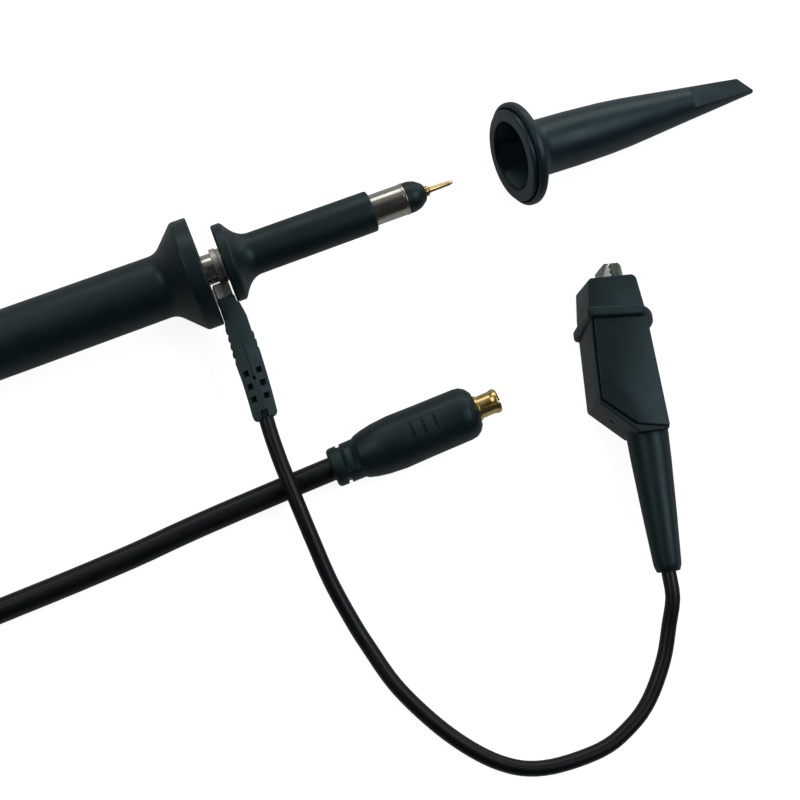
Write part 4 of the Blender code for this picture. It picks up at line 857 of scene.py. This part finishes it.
def make_boot():
    outline = [(-boot_edge(BOOT_FRONT), -BOOT_FRONT, 0.3), (-boot_edge(8.7), -8.7)]
    for i in range(4):
        start = NOTCH_START + i * NOTCH_PITCH
        outline += [(-boot_edge(start), -start), (0.35 - boot_edge(start), -start - 0.12)]
    outline += [(-boot_edge(along), -along) for along in (NOTCH_START + 4 * NOTCH_PITCH, 18.0)]
    outline += [(-boot_edge(BOOT_REAR), -BOOT_REAR, 0.75), (boot_edge(BOOT_REAR), -BOOT_REAR, 0.75)]
    outline += [(boot_edge(18.0, BOOT_RIGHT_EDGE), -18.0)]
    for i in range(3):
        start = NOTCH_START + (3 - i) * NOTCH_PITCH
        edge = boot_edge(start, BOOT_RIGHT_EDGE)
        outline += [(edge, -start), (edge - 0.18, -start + 0.15)]
    outline += [(boot_edge(along, BOOT_RIGHT_EDGE), -along) for along in (8.7, 6.6, 6.2)]
    outline += [(boot_edge(BOOT_FRONT), -BOOT_FRONT, 0.3)]
    home = Matrix.Identity(4)
    boot = slab(rounded(outline, step=18.0), 2 * BOOT_HALF_THICKNESS, home)
    planes = [((0, 0, 0), (1, 0, 0))]
    planes += [((0, -along * MM, 0), (0, 1, 0)) for along in (12.0, 15.0, 18.0, 21.0)]
    for middle, across in planes:
        geometry = boot.verts[:] + boot.edges[:] + boot.faces[:]
        bmesh.ops.bisect_plane(boot, geom=geometry, plane_co=middle, plane_no=across)
    for vert in boot.verts:
        vert.co.z -= math.copysign(RIDGE_SLOPE * abs(vert.co.x), vert.co.z)
    eased(boot, 0.2, segments=3, above=40.0)
    tools = []
    for row in range(3):
        along = WINDOW_START + WINDOW_PITCH * row
        for side in (-1, 1):
            for face in (-1, 1):
                floor, top = sorted((face * WINDOW_FLOOR, face * BOOT_OUTSIDE))
                low = (side - WINDOW_HALF, -along - WINDOW_HALF, floor)
                tools.append(brick(low, (side + WINDOW_HALF, -along + WINDOW_HALF, top), home))
    tools.append(brick((-0.2, -18.45, 1.0), (0.2, -17.9, BOOT_OUTSIDE), home))
    tools.append(brick((-0.05, -17.9, 1.45), (0.05, -13.0, BOOT_OUTSIDE), home))
    tools.append(brick((-0.55, -BOOT_REAR - 1.0, 0.9), (0.55, -BOOT_REAR + 1.15, BOOT_OUTSIDE), home))
    bore = [(BOOT_REAR + 1.0, 0.0), (BOOT_REAR + 1.0, WIRE_BORE), (11.6, WIRE_BORE), (11.6, 0.0)]
    tools.append(spun(bore, ALONG_LEAD, steps=48))
    tools.append(brick((-0.85, -12.0, -0.4), (0.85, -BOOT_FRONT + 1.0, 0.4), home))
    body = carved(boot, tools)
    for vert in body.verts:
        vert.co.x += lead_bend(-vert.co.y / MM) * MM
    body.transform(GROUND)
    shown("lead_boot", body, SOFT_BLACK, "ground_clip", ["ground_boot"], sharp=24.0)


make_boot()

# ---------------------------------------------------------------- clip's boot
# The clip sits in a hard black box with rounded shoulders, open in front and closed by a slanted
# rear wall. Each broad face is a raised panel in a narrow groove. A raised flange goes round the
# box for the fingers, full and round on one side, and a long hollow cone takes the wire.
CLIP = stand((59.05, -15.32, 6.1), lean=-2.5, turn=76.0)
CLIP_TAIL_END = -45.3
CLIP_TAIL_OFFSET = -2.75
BOX_HALF = 4.65
PANEL_HALF = 5.0
BOX_CAVITY = 8.4
FINGER_HALF = 5.78
FINGER_BULGE = 7.21
FINGER_PLACE = -6.3
FINGER_LEAN = 0.14
FINGER_TWIST = 0.054


def rolled(outline, half, rim, place, steps=5):
    """A plate with a rolled rim: its outline is drawn in towards both faces."""
    work = bmesh.new()
    reach = max(Vector(point).length for point in outline)
    loops = []
    for side in (-1, 1):
        for i in range(steps + 1):
            angle = math.pi / 2 * (i if side > 0 else steps - i) / steps
            draw = (1 - rim * (1 - math.cos(angle)) / reach) * MM
            level = side * (half - rim + rim * math.sin(angle)) * MM
            loops.append([work.verts.new((x * draw, y * draw, level)) for x, y in outline])
    for low, high in zip(loops, loops[1:]):
        for i in range(len(outline)):
            work.faces.new((low[i - 1], low[i], high[i], high[i - 1]))
    work.faces.new(loops[0])
    work.faces.new(loops[-1])
    bmesh.ops.recalc_face_normals(work, faces=work.faces)
    work.transform(place)
    return work


def make_clip_boot():
    outline = [(0.2, -3.5, 0.95), (0.2, 3.95, 0.7), (-4.5, 4.5), (-19.3, 4.97, 0.7)]
    outline += [(-24.25, -0.35, 0.6), (-24.25, -5.15, 0.5), (-4.9, -4.15)]
    box = eased(slab(rounded(outline, step=12.0), 2 * BOX_HALF, CLIP), 0.25, segments=3, above=50.0)
    groove = [(-6.4, -5.8), (-6.4, 4.3), (-12.6, 4.6), (-18.87, 4.77, 0.25), (-23.4, -0.1, 0.4)]
    groove += [(-24.05, -5.8)]
    panel = [(-12.6, 4.42), (-18.65, 4.58, 0.3), (-22.95, -0.28, 0.4), (-23.85, -5.1, 0.25)]
    cuts = []
    parts = []
    for side in (-1, 1):
        level = Matrix.Translation((0.0, 0.0, side * (BOX_HALF + 0.3) * MM))
        cuts.append(slab(rounded(groove, step=15.0), 1.2, CLIP @ level))
        level = Matrix.Translation((0.0, 0.0, side * (PANEL_HALF - 0.45) * MM))
        front = -5.8 + 0.7 * side
        shape = [(front, -4.13 + 0.05 * (front + 5.0)), (front, 4.05)] + panel
        plate = slab(rounded(shape, step=15.0), 0.9, CLIP @ level)
        parts.append(eased(plate, 0.18, segments=2, above=50.0))
    flange = [(-3.3, -FINGER_HALF), (5.25, -FINGER_HALF, 0.9), (4.95, FINGER_HALF, 0.9)]
    finger = rounded(flange + [(-3.3, FINGER_HALF)])
    for i in range(1, 20):
        angle = (1 - i / 10) * math.asin(FINGER_HALF / FINGER_BULGE)
        finger.append((1.01 - FINGER_BULGE * math.cos(angle), FINGER_BULGE * math.sin(angle)))
    upright = Matrix(((0, 0, 1, 0), (1, 0, 0, 0), (0, 1, 0, 0), (0, 0, 0, 1)))
    slant = Matrix.Identity(4)
    slant[0][1:] = (FINGER_TWIST, FINGER_LEAN, FINGER_PLACE * MM)
    parts.append(rolled(finger, 0.87, 0.55, CLIP @ slant @ upright))
    tail = [(-22.8, 0.0), (-22.8, 3.0), (-23.3, 3.25, 0.3), (-24.0, 3.25), (-28.0, 3.1), (-36.0, 2.65)]
    tail += [(-44.3, 2.1, 2.0), (CLIP_TAIL_END, 1.75, 0.4), (CLIP_TAIL_END, 0.0)]
    aside = Matrix.Translation((0.0, CLIP_TAIL_OFFSET * MM, 0.0))
    parts.append(spun(rounded(tail, closed=False), CLIP @ aside, steps=72))
    solid = carved(carved(box, cuts), parts, "UNION")
    cavity = [(1.0, -2.8), (1.0, 3.1), (-4.0, 3.35), (-18.5, 4.1), (-23.3, -0.9), (-23.5, -1.0)]
    cavity += [(-23.5, -4.3), (-4.9, -3.4)]
    tools = [slab(cavity, BOX_CAVITY, CLIP)]
    chamfer = Matrix.Rotation(math.atan2(5.2, 5.0) + math.pi / 2, 4, "Z")
    through = Matrix.Translation(Vector((-21.6, 2.45, 0.0)) * MM) @ chamfer
    tools.append(spun([(2.0, 0.0), (2.0, 0.45), (-2.0, 0.45), (-2.0, 0.0)], CLIP @ through, steps=32))
    bore = [(-22.0, 0.0), (-22.0, WIRE_BORE), (CLIP_TAIL_END - 1.0, WIRE_BORE)]
    bore += [(CLIP_TAIL_END - 1.0, 0.0)]
    tools.append(spun(bore, CLIP @ aside, steps=48))
    shown("clip_box", carved(solid, tools), BLACK_PLASTIC, "root", ["clip_boot"],
          sharp=25.0)


make_clip_boot()

# ---------------------------------------------------------------- clip's jaws
# The jaws are folded from plated sheet, toothed where they meet, and turn on a headed pin against a
# torsion spring. The punch leaves their edges soft. Only their blunt tips show past the boot.
STEEL_DARK = (0.42, 0.42, 0.42)
STEEL_LIGHT = (0.60, 0.60, 0.59)
SHEET_DARK = (0.15, 0.16, 0.14)
SHEET_LIGHT = (0.25, 0.26, 0.23)
STEEL = plated("spring_wire", STEEL_DARK, STEEL_LIGHT, gloss=(0.28, 0.38), rings=1500.0, turn=UNTURNED)
PLATED_SHEET = plated("plated_sheet", SHEET_DARK, SHEET_LIGHT, gloss=(0.26, 0.36), rings=2500.0,
                      turn=UNTURNED)


def make_jaw(name, body, node):
    """A jaw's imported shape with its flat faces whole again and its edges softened."""
    work = bmesh.new()
    work.from_mesh(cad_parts[node].data)
    bmesh.ops.remove_doubles(work, verts=work.verts, dist=MERGE)
    bmesh.ops.dissolve_limit(work, angle_limit=math.radians(2.0), verts=work.verts, edges=work.edges)
    soft = eased(work, 0.06, segments=2, above=40.0)
    shown(name, soft, PLATED_SHEET, body, [node])


def finished(node, material):
    """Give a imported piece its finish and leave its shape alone."""
    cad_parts[node].data.materials.clear()
    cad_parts[node].data.materials.append(material)


make_jaw("fixed_jaw", "root", "clip_fixed_jaw")
make_jaw("moving_jaw", "clip_jaw", "clip_moving_jaw")
finished("clip_pivot_pin", NICKEL)
finished("clip_spring", STEEL)

# ---------------------------------------------------------------- ground wire
# A limp wire of 2.3 mm in the same jacket. It comes out of the boot, passes over the coax, lies in
# one open loop on the table and goes into the clip's tail.
WIRE_SPACING = 1.2
WIRE_LANDS = (4.7, -61.0, 1.25)


def make_ground_wire():
    lying = WIRE_RADIUS + FLOOR_GAP
    inside = (16.5, 18.5, 20.5, 22.5, BOOT_REAR + 0.3)
    route = [on_table(GROUND, (lead_bend(along), -along, 0.0)) for along in inside]
    route += [(1.95, -27.2, 6.34), (1.9, -30.9, 5.93), (1.99, -34.6, 5.67), (2.15, -39.1, 5.1)]
    route += [(2.38, -44.0, 4.2), (2.76, -50.0, 2.95), (3.66, -56.0, 1.8), WIRE_LANDS, (6.83, -68.7, lying)]
    route += [(11.37, -77.4, lying), (16.8, -83.8, lying), (22.75, -86.9, lying), (31.4, -87.6, lying)]
    route += [(37.0, -86.1, lying), (41.3, -83.5, 1.25), (45.5, -78.9, 1.85), (48.15, -74.4, 2.8)]
    route += [on_table(CLIP, (CLIP_TAIL_END - behind, CLIP_TAIL_OFFSET, 0.0)) for behind in (3.9, 0.3, -3.0)]
    centreline = smooth_route(route, WIRE_SPACING, lying)
    curve = cable_curve("ground_wire", centreline, WIRE_RADIUS, CABLE_FACETS)
    work = read_back(curve)
    bpy.data.objects.remove(curve)
    wire = skinned("ground_wire", work, CABLE_JACKET, 50.0)
    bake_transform(wire)
    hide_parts("ground_cable", "ground_wire_end")


make_ground_wire()

# ---------------------------------------------------------------- hooked tip's sleeve
# A long tapered sleeve that the fingers pull back. Its mouth has a rolled rim, a lip set off by a
# groove and an eight-sided funnel. Its nose is flattened on top, slotted, and cut off at a slant.
HOOK = stand((53.4, 8.82, 8.25), lean=8.8727, turn=0.96)
HOOK_RIM = 8.25
HOOK_LENGTH = 44.2
FUNNEL_SIDES = 8
FUNNEL_MOUTH = 5.9
FUNNEL_FOOT = 3.7
FUNNEL_DEPTH = 6.1
FUNNEL_MIDDLE = 2.45
NOSE_SLOT_HALF = 0.45
FLAT_START = 31.7
FLAT_HEIGHT = 2.12
FLAT_SLOPE = 0.105
NOSE_END = 43.05
NOSE_SLANT = 38.5
BLUE_BLACK_DARK = (0.005, 0.012, 0.018)
BLUE_BLACK_LIGHT = (0.008, 0.018, 0.026)
HOOK_BLACK = moulded("blue_black_moulding", BLUE_BLACK_DARK, BLUE_BLACK_LIGHT, gloss=(0.34, 0.44),
                     grain=3200.0, depth=0.02)


def make_hook_sleeve():
    outside = [(HOOK_LENGTH + 0.6, 0.0), (HOOK_LENGTH + 0.6, 1.42), (41.7, 1.69), (38.2, 2.06)]
    outside += [(33.6, 2.52), (29.1, 2.98), (24.7, 3.45), (20.2, 3.92), (15.9, 4.23), (9.5, 4.44)]
    outside += [(4.2, 4.48), (3.4, 4.62, 1.0), (2.6, 5.0, 1.0), (2.0, 6.2, 1.8), (1.35, 7.5, 0.8)]
    mouth = [(0.85, HOOK_RIM, 0.65), (-0.4, HOOK_RIM, 0.55), (-0.45, 7.6, 0.12), (0.1, 7.55, 0.08)]
    mouth += [(0.1, 7.38, 0.08), (-1.15, 7.3, 0.3), (-1.2, 5.55, 0.15), (-0.45, 5.4)]
    bore = [(-0.45, 3.35), (9.0, 3.35), (9.0, 2.7), (10.0, 2.7), (10.0, 3.0), (24.5, 3.0), (24.5, 2.35)]
    bore += [(29.3, 2.35), (29.3, 1.35), (33.3, 1.35), (33.3, 0.0)]
    sleeve = spun(rounded(outside + mouth + bore, closed=False), HOOK, steps=112)
    funnel = bmesh.new()
    bmesh.ops.create_cone(funnel, cap_ends=True, segments=FUNNEL_SIDES, radius1=FUNNEL_MOUTH * MM,
                          radius2=FUNNEL_FOOT * MM, depth=FUNNEL_DEPTH * MM)
    middle = HOOK @ Matrix.Translation((FUNNEL_MIDDLE * MM, 0.0, 0.0))
    funnel.transform(middle @ turned(90.0, "Y"))
    slot = brick((33.0, -1.15, -NOSE_SLOT_HALF), (50.0, 1.15, NOSE_SLOT_HALF), HOOK)
    slope = Matrix.Rotation(math.atan(FLAT_SLOPE), 4, "Y")
    flat_place = HOOK @ Matrix.Translation((FLAT_START * MM, 0.0, FLAT_HEIGHT * MM)) @ slope
    flat = brick((0.0, -5.0, 0.0), (18.0, 5.0, 4.0), flat_place)
    end_place = HOOK @ Matrix.Translation((NOSE_END * MM, 0.05 * MM, 0.0)) @ turned(NOSE_SLANT, "Z")
    end = brick((0.0, -9.0, -5.0), (13.0, 9.0, 5.0), end_place)
    shown("hook_grip_sleeve", carved(sleeve, [funnel, slot, flat, end]), HOOK_BLACK, "hook_grip",
          ["hook_sleeve"], sharp=22.0)


make_hook_sleeve()

# ---------------------------------------------------------------- parts inside
# The hooked tip's core, contact, hook and spring, the divider in the barrel, the crimp rings and the
# stripped ends of the coax are seen only through an opening, and keep the model's own shape.
CERAMIC_DARK = (0.44, 0.31, 0.19)
CERAMIC_LIGHT = (0.60, 0.46, 0.31)
CERAMIC = insulator("lacquered_ceramic", CERAMIC_DARK, CERAMIC_LIGHT)
INSIDE = {
    "hook_core": WHITE_INSULATOR, "core_insulator": WHITE_INSULATOR, "divider_capacitor": WHITE_INSULATOR,
    "divider_resistor": CERAMIC, "hook_contact": GOLD, "hook_wire": GOLD, "input_socket": GOLD,
    "hook_spring": STEEL, "coax_ferrule": NICKEL, "plug_ferrule": NICKEL,
    "coax_handle_end": CABLE_JACKET, "coax_plug_end": CABLE_JACKET,
}
for node, material in INSIDE.items():
    finished(node, material)
